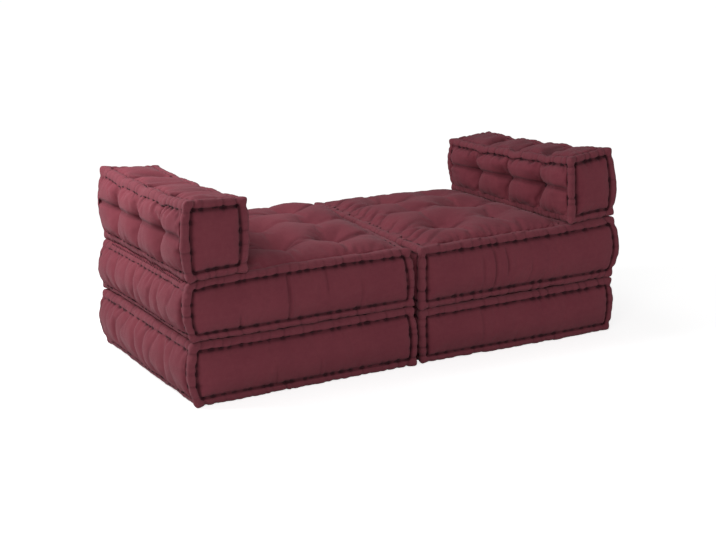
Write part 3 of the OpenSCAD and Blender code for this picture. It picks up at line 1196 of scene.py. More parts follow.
        # Painted shade: a dark line along each groove, darker dashes at the stitches, shade where stitches
        # pucker the cloth beside the groove, and thin dark lines across the roll under each thread
        past = seams.off - self.roll.groove
        groove_shade_wobble = 0.5 + 0.5 * Ripple(sewing.smudge_pitch, self.seed + 4)(points)
        dashes = smooth(0.3, 0.5, self.pinched(seams, sewing.dash_w)) * np.clip(4 * spots.shade, 0, 1)
        line = np.clip(spots.shade * (0.6 + 0.3 * groove_shade_wobble) + 0.8 * dashes, 0, 1)
        pucker = 0.8 * spots.pinch * (0.1 + 0.9 * spots.shade)
        thread = 0.45 * self.pinched(seams, sewing.thread_w) * spots.on_roll
        shades = [line * bell(past, sewing.line_w), pucker * bell(past, sewing.pucker_w), thread]
        return np.max(shades, axis=0)

    def detail(self) -> None:
        """Adds puckers, creases, lumps and corner knots, and keeps the painted shade and the wear that the
        material needs.
        """
        mesh = self.shell.data
        cloth = get_vector(mesh, "cloth")
        points, normals = get_points(mesh), get_normals(mesh)
        spots = self.spots(cloth)
        drawn_in = self.per_face(cloth, "crease")
        move = self.puckered(spots) + self.lumpy(spots, points) - drawn_in
        move[spots.flat & ~spots.on_roll] = 0
        points = points + normals * move[:, None]
        set_points(mesh, self.knot_corners(cloth, points))
        # The seam attribute holds painted shade: the darkest of the groove and stitch shade, the tuft shade
        # and the crease shade
        creased = self.sewing.crease_shade * np.clip(drawn_in / self.sewing.dark_crease, 0, 1)
        deep = np.max([self.darkness(spots, points), self.per_face(cloth, "shade"), creased], axis=0)
        set_number(mesh, "seam", np.clip(deep, 0, 1))
        set_number(mesh, "wear", np.where(spots.on_roll, 1 - 0.6 * spots.toward, 0.0))

    def shade(self, face: Face, a: Values, b: Values) -> Values:
        """How dark the shade painted in a panel's tufts is, from 0 to 1."""
        return self.dark_tuft * self.near_tuft(face, a, b, self.dark_tuft_r)

    def knot_corners(self, cloth: Points, points: Points) -> Points:
        """Draws the cloth at the eight corners out into knots.

        Args:
            cloth: Points on the box.
            points: Their places.

        Returns:
            The new places.
        """
        out = points.copy()
        for number in range(8):
            ends = np.array([number & 1, number >> 1 & 1, number >> 2])
            corner = ends * self.cloth_size
            far = np.linalg.norm(cloth - corner, axis=1)
            way = (2 * ends - 1) * np.array([1.0, 1.0, 0.3])
            way = way / np.linalg.norm(way)
            knob = 1 - smooth(5 * MM, 24 * MM, far)
            out += way * (self.ear * (knob - 0.3 * bell(far - 30 * MM, 7 * MM)))[:, None]
        return out

    def press(self, points: Points) -> Points:
        """Flattens what would reach through the faces that are pressed flat."""
        out = points.copy()
        out[:, 2] = np.maximum(out[:, 2], self.lift)
        if Face.TOP in self.flat_faces:
            out[:, 2] = np.minimum(out[:, 2], self.lift + self.size[2])
        return out

    def roll_line(self, face: Face, edge: int, share: float = 1.0) -> tuple[Values, Points, Points]:
        """A line of vertices along a roll of the finished shell.

        Args:
            face: Face on whose side of the roll it lies.
            edge: Number of the edge.
            share: Distance from the ridge, as a share of the distance to the groove.

        Returns:
            Places along the edge in rising order, and the points and normals there.
        """
        mesh = self.shell.data
        cloth = get_vector(mesh, "cloth")
        seams = self.seams(cloth)
        halves = 2 * self.roll.steps
        off = self.roll.groove * round(share * halves) / halves
        here = self.on_face(cloth, face) & (seams.edge == edge) & (np.abs(seams.off - off) < NEAR)
        order = np.flatnonzero(here)[np.argsort(seams.along[here])]
        return seams.along[order], get_points(mesh)[order], get_normals(mesh)[order]

    def stitch_lines(self) -> list[tuple[Points, Values]]:
        """Paths of the stitches, each with the share of the thread's radius at its points."""
        rng = np.random.default_rng(self.seed + 7)
        made = []
        for face in (face for face in Face if face not in self.flat_faces):
            axis, end = face.value
            for edge in range(EDGES):
                run = edge // 4
                others = [n for n in range(3) if n != run]
                ends = dict(zip(others, (edge >> 1 & 1, edge & 1)))
                if run == axis or ends[axis] != end:
                    continue
                along, points, normals = self.roll_line(face, edge, 0.88 if face is Face.OUTER else 1.0)
                for place in self.stitches[edge][1:-1]:
                    stops = place + rng.uniform(*STITCH_HALF) * STITCH_STOPS
                    path, way = between(stops, along, points), between(stops, along, normals)
                    if self.shown_stitch(face, path):
                        made.append((path + way * STITCH_HEIGHTS[:, None], STITCH_SHARES))
        return made

    def tuft_point(self, tuft: Tuft) -> tuple[Points, Points]:
        """Point and normal of the finished shell at a tuft."""
        mesh = self.shell.data
        cloth = get_vector(mesh, "cloth")
        plain = self.plain(cloth)
        first, second = tuft.face.sides
        far = np.hypot(plain[:, first] - tuft.a, plain[:, second] - tuft.b)
        nearest = int(np.argmin(np.where(self.on_face(cloth, tuft.face), far, np.inf)))
        return get_points(mesh)[nearest], get_normals(mesh)[nearest]

    def twine_tubes(self, radius: float) -> list[Tube]:
        """Twisted runs of the tufting twine, with a knot at both ends of each.

        Args:
            radius: Radius of the twine.

        Returns:
            Vertices and faces of each strand, knot and tail.
        """
        rng = np.random.default_rng(self.seed + 9)
        made = []
        for run in self.runs():
            ends = [self.tuft_point(tuft) for tuft in run]
            made += [tube(path, np.full(len(path), 0.62 * radius), 4)
                     for path in strands(ends[0][0], ends[1][0], 0.5 * radius)]
            for point, normal in ends:
                turn = rng.uniform(0, 2 * math.pi)
                path = overhand_knot(point + normal * 1.5 * radius, normal, self.knot, turn)
                made.append(tube(path, np.full(len(path), radius)))
                for turn in (0, 2.4):
                    way = tangent(normal, rng.uniform(0, 1.2) + turn)
                    tail = way * TAIL_REACHES[:, None] + normal * TAIL_LIFTS[:, None]
                    made.append(tube(point + tail * self.knot, radius * TAIL_SHARES))
        return made

    def batting(self, clear: float) -> bpy.types.Object:
        """Block of layered batting that fills the cover.

        Args:
            clear: Space between its sides and the plain sides of the cover.

        Returns:
            The block, in the module's frame.
        """
        block = replace(self, size=tuple(side - 2 * clear for side in self.size), lift=self.lift + clear,
                        roll=BATTING_ROLL, pitch=17 * MM)
        cloth, quads = box_grid([axis.lines() for axis in block.axes])
        return make_object(f"{self.name}_batting", block.form(cloth) + np.array([clear, clear, 0]), quads)

    def shown_stitch(self, face: Face, path: Points) -> bool:
        """Whether a stitch lies free, and not under another cushion."""
        return True


@dataclass
class BlockCushion(Cushion):
    """A base or seat cushion: gathered on its outer and inner sides, smooth at the front and rear.

    Attributes:
        side_crown: Swell of the outer side.
        gather, gather_pitch: Depth of the upright gathers and distance between them.
        gather_crease: Depth of the crease in the valley between two gathers.
        gather_sharp: Its half-width, as a share of the wave's height.
    """

    side_crown: float = 6 * MM
    gather: float = 4 * MM
    gather_pitch: float = 70 * MM
    gather_crease: float = 2.8 * MM
    gather_sharp: float = 0.17

    def gather_wave(self, along: Values, up: Values, face: Face) -> Values:
        """Wave of the upright gathers, 0 in their sharp valleys and 1 on their round crests."""
        wander = Ripple(160 * MM, self.seed + 3 + face.value[1])
        points = np.stack([along, 0.8 * up, np.zeros_like(up)], axis=1)
        return np.abs(np.cos(math.pi * along / self.gather_pitch + 0.8 * wander(points)))

    def rise(self, face: Face, a: Values, b: Values) -> Values:
        """Swell of the gathered sides."""
        if face in (Face.OUTER, Face.INNER):
            crown = self.side_crown if face is Face.OUTER else 0
            up = arch(np.clip(b / self.size[2], 0, 1))
            gathers = up ** 0.5 * self.gather * (self.gather_wave(a, b, face) - 0.6)
            return plateau(self.panel_share(a, 1)) * (up * crown + gathers)
        return super().rise(face, a, b)

    def crease(self, face: Face, a: Values, b: Values) -> Values:
        """The valleys between the gathers are sharp."""
        made = super().crease(face, a, b)
        if face in (Face.OUTER, Face.INNER):
            depth = Ripple(110 * MM, self.seed + 5)(np.stack([a, b, b], axis=1))
            reach = self.gather_crease * (0.4 + 0.6 * np.clip(depth, 0, 1))
            made = made + reach * bell(self.gather_wave(a, b, face), self.gather_sharp)
        return made


@dataclass
class BaseCushion(BlockCushion):
    """The lower cushion of a module, flat where it lies on the floor and under the seat cushion."""

    pitch: float = 11 * MM
    draw_in: float = -1 * MM
    flat_faces: tuple[Face, ...] = (Face.BOTTOM, Face.TOP)


@dataclass(frozen=True)
class Hill:
    """A place where the stuffing of a seat stands higher.

    Attributes:
        a, b: Its place, as shares of the seat's length and depth.
        long, wide: Its radius along and across the seat.
    """

    a: float
    b: float
    long: float
    wide: float
    height: float


@dataclass
class SeatCushion(BlockCushion):
    """The upper cushion of a module, crowned and tufted beyond the back cushion that stands on it.

    Attributes:
        crown: Rise of the crowned top.
        tuft, tuft_r: Depth of a deep tuft's funnel, and its radius across the seat.
        knot_r: Radius of the pit in which a knot lies.
        top_dark, top_dark_r: How dark the shade painted in a deep tuft is, and its radius.
        hollow, hollow_r: Depth of the wide hollow round it, and its radius across the seat.
        stretch: How much longer funnel and hollow are along the seat.
        shallow: Depth of a shallow tuft, as a share of a deep one's.
        ray: Depth of the creases that run out of the deep tufts.
        pleat: Depth of the pleats that run in from the inner roll.
        inner_groove: Share of its full depth that the groove beside the inner roll has.
        end_groove: The same beside the front and rear rolls.
        deep: Deep tufts of the top, counted from the outer side and from the front.
        hills: Places of the top where the stuffing stands higher.
    """

    inner_draw: Union[float, None] = -7 * MM
    back_t: float = 180 * MM
    crown: float = 30 * MM
    tuft: float = 26 * MM
    tuft_r: float = 34 * MM
    knot_r: float = 11 * MM
    top_dark: float = 0.6
    top_dark_r: float = 9 * MM
    hollow: float = 15 * MM
    hollow_r: float = 75 * MM
    stretch: float = 1.5
    shallow: float = 0.3
    ray: float = 5.5 * MM
    pleat: float = 6 * MM
    inner_groove: float = 0.1
    end_groove: float = 0.15
    deep: tuple[tuple[int, int], ...] = ()
    hills: tuple[Hill, ...] = ()

    SLACK = {**Cushion.SLACK, Face.TOP: 0.8}

    def filled(self, face: Face) -> Mapping[Edge, Pair]:
        """The stuffing of the top swells over its front, rear and inner rolls."""
        ends = (self.end_groove, 0.0)
        top = {Edge.FRONT_TOP: ends, Edge.REAR_TOP: ends, Edge.INNER_TOP: (self.inner_groove, 0.0)}
        return top if face is Face.TOP else {}

    def runs(self) -> list[tuple[Tuft, Tuft]]:
        """The back cushion lies on the outermost tufts."""
        return [run for run in self.upright_runs() if run[1].a > self.back_t + 2 * self.knot]

    def hold(self, face: Face, a: Values, b: Values) -> Values:
        """The place of the back cushion is pressed flat, and the twine holds the tufts."""
        if face is not Face.TOP:
            return super().hold(face, a, b)
        under_back = 1 - smooth(self.back_t + 10 * MM, self.back_t + 40 * MM, a)
        return np.maximum(under_back, self.near_tuft(face, a, b, self.pitch) > 0.5)

    def rise(self, face: Face, a: Values, b: Values) -> Values:
        """Crown of the top with its tufts."""
        if face is not Face.TOP:
            return super().rise(face, a, b)
        u = (a - self.back_t) / (self.size[0] - 2 * self.roll.radius - self.back_t)
        shown = smooth(self.back_t, self.back_t + 3 * self.roll.radius, a)
        dip, sunk = np.zeros_like(a), np.zeros_like(a)
        for tuft, share in self.top_tufts():
            far = np.hypot((a - tuft.a) / self.stretch, b - tuft.b)
            funnel = self.tuft * bell(far, self.tuft_r) + self.hollow * bell(far, self.hollow_r)
            dip = np.maximum(dip, share * funnel)
            sunk = np.maximum(sunk, self.dimple * bell(np.hypot(a - tuft.a, b - tuft.b), self.knot_r))
        made = self.crown * plateau(u) * plateau(self.panel_share(b, 1)) - shown * dip - sunk
        for hill in self.hills:
            along = bell(a - hill.a * self.size[0], hill.long)
            made += hill.height * along * bell(b - hill.b * self.size[1], hill.wide)
        return made

    def shade(self, face: Face, a: Values, b: Values) -> Values:
        """The deep tufts of the top get painted shade, and the shallow ones hardly any."""
        if face is not Face.TOP:
            return super().shade(face, a, b)
        made = np.zeros_like(a)
        for tuft, share in self.top_tufts():
            made = np.maximum(made, share * bell(np.hypot(a - tuft.a, b - tuft.b), self.top_dark_r))
        return self.top_dark * made

    def top_tufts(self) -> list[tuple[Tuft, float]]:
        """Tufts of the top, each with its share of the full depth."""
        made = []
        for tuft in (run[1] for run in self.runs()):
            place = (round(4 * tuft.a / self.size[0]), round(4 * tuft.b / self.size[1]))
            made.append((tuft, 1.0 if place in self.deep else self.shallow))
        return made

    def rays(self, a: Values, b: Values) -> Values:
        """Creases that run from the deep tufts along the seat, 0 to 1."""
        rng = np.random.default_rng(self.seed + 57)
        made = np.zeros_like(a)
        for tuft, share in self.top_tufts():
            for way in (-1, 1) if share == 1 else ():
                for turn in rng.uniform(-0.32, 0.32, 3):
                    along = way * ((a - tuft.a) * math.cos(turn) + (b - tuft.b) * math.sin(turn))
                    across = (b - tuft.b) * math.cos(turn) - (a - tuft.a) * math.sin(turn)
                    reach = rng.uniform(90, 190) * MM
                    bow = rng.uniform(-1.2, 1.2)
                    width = 5 * MM + 0.04 * np.maximum(along, 0)
                    line = bell(across - bow * along ** 2, width) * smooth(0, 12 * MM, along)
                    line = line * (1 - smooth(0.35 * reach, reach, along))
                    made = np.maximum(made, rng.uniform(0.5, 1) * line)
        return made

    def crease(self, face: Face, a: Values, b: Values) -> Values:
        """Pleats run into the top from its inner roll, and rays run out of its deep tufts."""
        made = super().crease(face, a, b)
        if face is not Face.TOP:
            return made
        rng = np.random.default_rng(self.seed + 51)
        far = self.size[0] - a
        for place in np.linspace(-0.05, 0.85, 13) * self.size[1]:
            start = place + rng.uniform(-14, 14) * MM
            bow, reach = rng.uniform(0.45, 0.85), rng.uniform(80, 190) * MM
            line = b - start - bow * far + 1.6 * far ** 2
            fade = smooth(0, 30 * MM, far) * (1 - smooth(0.4 * reach, reach, far))
            made = made + self.pleat * rng.uniform(0.4, 1.0) * bell(line, 6 * MM + 0.03 * far) * fade
        edge = np.minimum(far, np.minimum(b, self.size[1] - b))
        inside = smooth(30 * MM, 60 * MM, edge) * smooth(self.back_t + 10 * MM, self.back_t + 40 * MM, a)
        return made + self.ray * self.rays(a, b) * inside

    def shown_stitch(self, face: Face, path: Points) -> bool:
        """The top swells over the stitches of its front and rear rolls and most of the inner roll's."""
        middle = path[:, 1].mean()
        on_inner = path[:, 0].max() > self.size[0] - 3 * self.roll.radius and middle > self.size[1] / 5
        on_end = min(middle, self.size[1] - middle) < 3 * self.roll.radius
        beyond_back = path[:, 0].min() > self.back_t + self.roll.radius
        return face is not Face.TOP or (beyond_back and not on_inner and not on_end)


@dataclass
class BackCushion(Cushion):
    """The cushion that stands on the outer end of a seat, pillowed between one row of tufts on both faces.

    Attributes:
        tuft_share: Height of the tufts, as a share of the cushion's height.
        top_crown: Rise of the crowned top.
        pillow: Swell of the pillows.
        tuft: Depth of a tuft below the pillows.
        valley: Depth of the valleys between tufts.
        tuft_r: Radius of a tuft's funnel.
        roll_dip: How far the top dips above each tuft, with its rolls.
        column_crease, row_crease: Depth of the creases from a tuft to the rolls and to the next tuft.
        top_crease, top_fold: Depth of the creases across the top and of the lesser folds between them.
        top_sag: How far the edges of the top sag between its corners.
        pleat, pleat_w: Depth and half-width of the short pleats between the tufts.
        crease_w: Half-width of the creases from tuft to tuft and to the rolls.
        hold_w: Half-width of the strips that the twine holds down.
        row_arch: How far the row of valleys arches up between the tufts.
        soft_edge: Distance from the rolls over which the creases of the top begin.
    """

    tuft_share: float = 0.46
    top_crown: float = -4 * MM
    pillow: float = 9 * MM
    tuft: float = 40 * MM
    valley: float = 10 * MM
    tuft_r: float = 30 * MM
    roll_dip: float = 6 * MM
    column_crease: float = 4 * MM
    row_crease: float = 7 * MM
    top_crease: float = 5 * MM
    top_fold: float = 2.5 * MM
    top_sag: float = 9 * MM
    pleat: float = 4.5 * MM
    pleat_w: float = 5.5 * MM
    crease_w: float = 6 * MM
    hold_w: float = 9 * MM
    row_arch: float = 12 * MM
    soft_edge: float = 25 * MM
    pitch: float = 7.5 * MM
    spare: float = 0.07
    top_rope: float = 1.3

    SLACK = {Face.OUTER: 1.0, Face.INNER: 1.0, Face.FRONT: 0.2, Face.REAR: 0.2, Face.TOP: 0.2}
    # Filled grooves of the inner face: share of the full depth, and how dark their painted shade is
    FILLED = {Edge.INNER_BOTTOM: (0.0, 0.0), Edge.INNER_FRONT: (0.5, 0.15), Edge.INNER_REAR: (0.5, 0.15)}

    def filled(self, face: Face) -> Mapping[Edge, Pair]:
        """The pillows of the inner face swell over its lower roll and half over its upright ones."""
        return self.FILLED if face is Face.INNER else {}

    def shown_stitch(self, face: Face, path: Points) -> bool:
        """The top of the seat covers the stitches at the foot of the inner face."""
        return face is not Face.INNER or path[:, 2].min() > self.lift + 3 * self.roll.radius

    def runs(self) -> list[tuple[Tuft, Tuft]]:
        """One row of runs from the outer to the inner face."""
        return [tuple(Tuft(face, share * self.size[1], self.tuft_share * self.size[2])
                      for face in (Face.OUTER, Face.INNER)) for share in self.tuft_shares]

    def warp(self, placed: Points) -> Points:
        """The top dips, with its rolls, where the twine draws the cushion in."""
        out = super().warp(placed)
        dip = self.tuft_line(placed[:, 1] + 0.2 * placed[:, 0], self.size[1], 24 * MM)
        sag = self.roll_dip * (dip - 0.35) + self.top_sag * plateau(placed[:, 1] / self.size[1], 3)
        out[:, 2] -= sag * smooth(0.55, 0.95, placed[:, 2] / self.size[2])
        return out

    def row_line(self, a: Values, b: Values) -> Values:
        """Distance of points on the outer or inner face from the arched valley that links the tufts."""
        apart = np.abs((a / self.size[1] * 4 + 0.5) % 1 - 0.5) * 2
        return b - self.tuft_share * self.size[2] - self.row_arch * (1 - (1 - apart) ** 2)

    def hold(self, face: Face, a: Values, b: Values) -> Values:
        """The twine holds the tufts, and a little the valleys between them."""
        if face in (Face.OUTER, Face.INNER):
            row = bell(self.row_line(a, b), self.hold_w)
            columns = self.tuft_line(a, self.size[1], self.hold_w)
            tufts = self.near_tuft(face, a, b, self.pitch) > 0.5
            return np.maximum(np.maximum(0.3 * row, 0.12 * columns), tufts)
        if face is Face.TOP:
            return 0.2 + 0.2 * self.tuft_line(b, self.size[1], self.hold_w)
        return super().hold(face, a, b)

    def rise(self, face: Face, a: Values, b: Values) -> Values:
        """Pillows of the outer and inner face, and crown of the top."""
        if face in (Face.OUTER, Face.INNER):
            across = self.tuft_line(a, self.size[1], self.tuft_r)
            up = bell(self.row_line(a, b), self.tuft_r)
            dip = self.valley * np.maximum(across, up) + (self.tuft - self.valley) * across * up
            return self.pillow * plateau(self.panel_share(a, 1)) - dip
        if face is Face.TOP:
            dips = self.valley * self.tuft_line(b, self.size[1], self.tuft_r)
            return (self.top_crown - dips) * plateau(self.panel_share(b, 1))
        return super().rise(face, a, b)

    def crease(self, face: Face, a: Values, b: Values) -> Values:
        """Sharp creases run from the tufts to the rolls and from tuft to tuft."""
        made = super().crease(face, a, b)
        if face in (Face.OUTER, Face.INNER):
            up = b - self.tuft_share * self.size[2]
            columns = self.tuft_line(a + 0.10 * up + 1.2 * up ** 2, self.size[1], self.crease_w)
            row = bell(self.row_line(a, b), self.crease_w)
            made = made + np.maximum(self.column_crease * columns, self.row_crease * row)
            made = made + self.pleats(face, a, b)
        if face is Face.TOP:
            edge = np.min([a, self.size[0] - a, b, self.size[1] - b], axis=0) - 2 * self.roll.radius
            skew = b + 0.3 * (a - self.size[0] / 2)
            folded = Ripple(52 * MM, self.seed + 61)(np.stack([0.25 * a, skew, 0 * a], axis=1))
            creased = self.top_crease * self.tuft_line(skew, self.size[1], 8 * MM) + self.top_fold * folded
            made = made + creased * smooth(0, self.soft_edge, edge)
        return made

    def pleats(self, face: Face, a: Values, b: Values) -> Values:
        """Short pleats between the tufts, which run from the upper and lower rolls into the pillows."""
        rng = np.random.default_rng(self.seed + 31 + face.value[1])
        made = np.zeros_like(a)
        for share in np.arange(1, 16, 2) / 16:
            for end, reach in ((self.size[2], 62 * MM), (0, 34 * MM))[:1 if face is Face.INNER else 2]:
                far = np.abs(end - b)
                place = share * self.size[1] + rng.uniform(-14, 14) * MM
                bow = rng.uniform(-0.25, 0.25) * far
                fade = 1 - smooth(0.5, 1.0, far / (reach * rng.uniform(0.7, 1.2)))
                made += self.pleat * rng.uniform(0.6, 1.0) * bell(a - place - bow, self.pleat_w) * fade
        return made


def tube(path: Points, radius: Values, sides: int = 6) -> Tube:
    """Closed tube along a path.

    Args:
        path: Points of the path.
        radius: Radius at each point.
        sides: Number of sides.

    Returns:
        Vertices and faces.
    """
    ahead = np.gradient(path, axis=0)
    ahead /= np.maximum(np.linalg.norm(ahead, axis=1), TINY)[:, None]
    side = np.cross(ahead[0], (0, 0, 1) if abs(ahead[0][2]) < 0.8 else (1, 0, 0))
    rings = []
    turns = np.linspace(0, 2 * math.pi, sides, endpoint=False)
    for point, way, size in zip(path, ahead, radius):
        side = side - way * (side @ way)
        side /= np.linalg.norm(side)
        over = np.cross(way, side)
        rings.append(point + size * (np.cos(turns)[:, None] * side + np.sin(turns)[:, None] * over))
    faces = []
    for ring in range(len(path) - 1):
        for turn in range(sides):
            a = ring * sides + turn
            b = ring * sides + (turn + 1) % sides
            faces.append((a, b, b + sides, a + sides))
    last = (len(path) - 1) * sides
    faces.append(tuple(reversed(range(sides))))
    faces.append(tuple(range(last, last + sides)))
    return np.concatenate(rings), faces


def tangent(normal: Points, turn: float) -> Points:
    """Unit vector square to a normal, turned about it by an angle."""
    side = np.cross(normal, (0, 1, 0) if abs(normal[1]) < 0.8 else (1, 0, 0))
    side /= np.linalg.norm(side)
    return math.cos(turn) * side + math.sin(turn) * np.cross(normal, side)


def strands(start: Points, end: Points, radius: float) -> list[Points]:
    """Paths of two strands twisted round each other from one point to another."""
    length = float(np.linalg.norm(end - start))
    way = (end - start) / length
    count = max(8, round(length / (2.5 * MM)))
    share = np.linspace(0, 1, count)[:, None]
    turns = share * length / (15 * MM) * 2 * math.pi
    side, over = tangent(way, 0), tangent(way, math.pi / 2)
    middle = start + share * (end - start)
    return [middle + radius * (np.cos(turns + shift) * side + np.sin(turns + shift) * over)
            for shift in (0, math.pi)]


def overhand_knot(centre: Points, normal: Points, radius: float, turn: float) -> Points:
    """Path of a closed overhand knot that lies on a surface."""
    t = np.linspace(0, 2 * math.pi, 37)
    flat = np.stack([np.sin(t) + 2 * np.sin(2 * t), np.cos(t) - 2 * np.cos(2 * t)], axis=1) * radius / 3
    side, over = tangent(normal, turn), tangent(normal, turn + math.pi / 2)
    rise = (-np.sin(3 * t) * radius / 3)[:, None] * normal
    return centre + flat[:, :1] * side + flat[:, 1:] * over + rise


def slab(name: str, lines: Sequence[Points], ways: Sequence[Points], low: float,
         high: float) -> bpy.types.Object:
    """Makes a closed sheet of cloth over rows of points.

    Args:
        name: Name of the piece.
        lines: Rows of points, all of one length.
        ways: Normals at the points.
        low: Height of the sheet's underside above the points.
        high: Height of its upper side.

    Returns:
        The sheet.
    """
    rows, columns = len(lines), len(lines[0])
    base, way = np.array(lines), np.array(ways)
    points = np.concatenate([(base + low * way).reshape(-1, 3), (base + high * way).reshape(-1, 3)])
    index = np.arange(rows * columns).reshape(rows, columns)
    upper = index + rows * columns
    quads = []
    for r in range(rows - 1):
        for c in range(columns - 1):
            a, b, d, e = index[r, c], index[r, c + 1], index[r + 1, c + 1], index[r + 1, c]
            quads += [(a, e, d, b), tuple(corner + rows * columns for corner in (a, b, d, e))]
    rim, above = ([*side[0, :], *side[1:, -1], *side[-1, -2::-1], *side[-2:0:-1, 0]]
                  for side in (index, upper))
    for n in range(len(rim)):
        m = (n + 1) % len(rim)
        quads.append((rim[n], rim[m], above[m], above[n]))
    return make_object(name, points, quads)


def join_tubes(name: str, tubes: Sequence[Tube]) -> bpy.types.Object:
    """Makes one object of several tubes."""
    points, faces, start = [], [], 0
    for verts, quads in tubes:
        points.append(verts)
        faces += [tuple(index + start for index in face) for face in quads]
        start += len(verts)
    return make_object(name, np.concatenate(points), faces)


@dataclass(frozen=True)
class Settling:
    """How far the corners of a module have settled out of square, in millimetres.

    Each level has four moves: those of its outer front, outer rear, inner front and inner rear corner.

    Attributes:
        floor, seam, seat, back: Moves at the floor, under the seat and at the top of seat and back.
        tuck: How far the foot of the back's inner face has gone outwards.
        fade: Power with which the moves of the outer corners fade towards the inner end.
    """

    floor: tuple[Triple, ...]
    seam: tuple[Triple, ...]
    seat: tuple[Triple, ...]
    back: tuple[Triple, ...]
    tuck: float = 0.0
    fade: float = 4.0

    def moved(self, moves: Sequence[Triple], across: Values, ahead: Values, fade: float) -> Points:
        """Moves in metres of the points of a level, from the moves of its four corners."""
        outer = (1 - across) ** fade
        weights = (outer * (1 - ahead), outer * ahead, across * (1 - ahead), across * ahead)
        return MM * sum(weight[:, None] * np.array(move) for weight, move in zip(weights, moves))


SETTLING = {
    Side.LEFT: Settling(
        floor=((7, -14, 0), (2, 24, 0), (8, 3, 0), (0, 10, 0)),
        seam=((8, -2, 6), (-10, 10, 12), (0, 3, 8), (0, 0, 8)),
        seat=((3, -5, -14), (-2, -5, -15), (-14, 6, 0), (14, -6, 20)),
        back=((2, 0, 10), (0, 2, 11), (2, 0, 5), (7, -3, -2))),
    Side.RIGHT: Settling(
        floor=((-3, 8, 0), (0, 8, 0), (-8, 10, 0), (0, 8, 0)),
        seam=((0, 1, 2), (0, 0, 2), (2, -3, -6), (0, 0, 8)),
        seat=((-4, 0, 15), (0, 0, 8), (0, -1, -3), (1, 4, 25)),
        back=((5, 10, 33), (5, 4, 6), (-8, -3, 14), (0, -1, -9)), tuck=12)}
SEED = {Side.LEFT: 10, Side.RIGHT: 40}
TRAITS = {
    (Side.LEFT, "base"): {
        "outer_bow": 24 * MM, "folds": (Fold(0.36, 0.0, 0.4, 2 * MM), Fold(0.55, 0.1, 0.4, 2 * MM))},
    (Side.LEFT, "seat"): {
        "outer_bow": 24 * MM, "pleat": 2 * MM, "inner_groove": 0.05,
        "deep": ((1, 1), (1, 3), (2, 1), (3, 1), (3, 3)),
        "hills": (Hill(0.85, 0.71, 85 * MM, 105 * MM, 30 * MM), Hill(0.68, 0.91, 200 * MM, 60 * MM, 9 * MM)),
        "folds": (Fold(0.43, 0.1, 0.9, 5 * MM), Fold(0.60, 0.5, 0.9, 2.5 * MM),
                  Fold(0.22, 0.0, 0.35, 3 * MM), Fold(0.75, 0.1, 0.6, 2 * MM))},
    (Side.LEFT, "back"): {"outer_bow": 20 * MM, "tuft_share": 0.51},
    (Side.RIGHT, "base"): {"outer_bow": 9 * MM, "folds": (Fold(0.7, 0.3, 0.9, 2 * MM),)},
    (Side.RIGHT, "seat"): {
        "outer_bow": 28 * MM, "pleat": 6 * MM, "inner_groove": 0.3,
        "deep": ((1, 1), (1, 3), (2, 2), (3, 1), (3, 3)),
        "folds": (Fold(0.70, 0.3, 0.7, 2.5 * MM), Fold(0.64, 0.2, 0.8, 5 * MM),
                  Fold(0.58, 0.4, 0.8, 4 * MM), Fold(0.46, 0.1, 0.5, 2 * MM))},
    (Side.RIGHT, "back"): {"tuft_share": 0.48}}


@dataclass(frozen=True)
class Finishes:
    """The materials of the sofa."""

    cover: bpy.types.Material
    hinge: bpy.types.Material
    twine: bpy.types.Material
    batting: bpy.types.Material


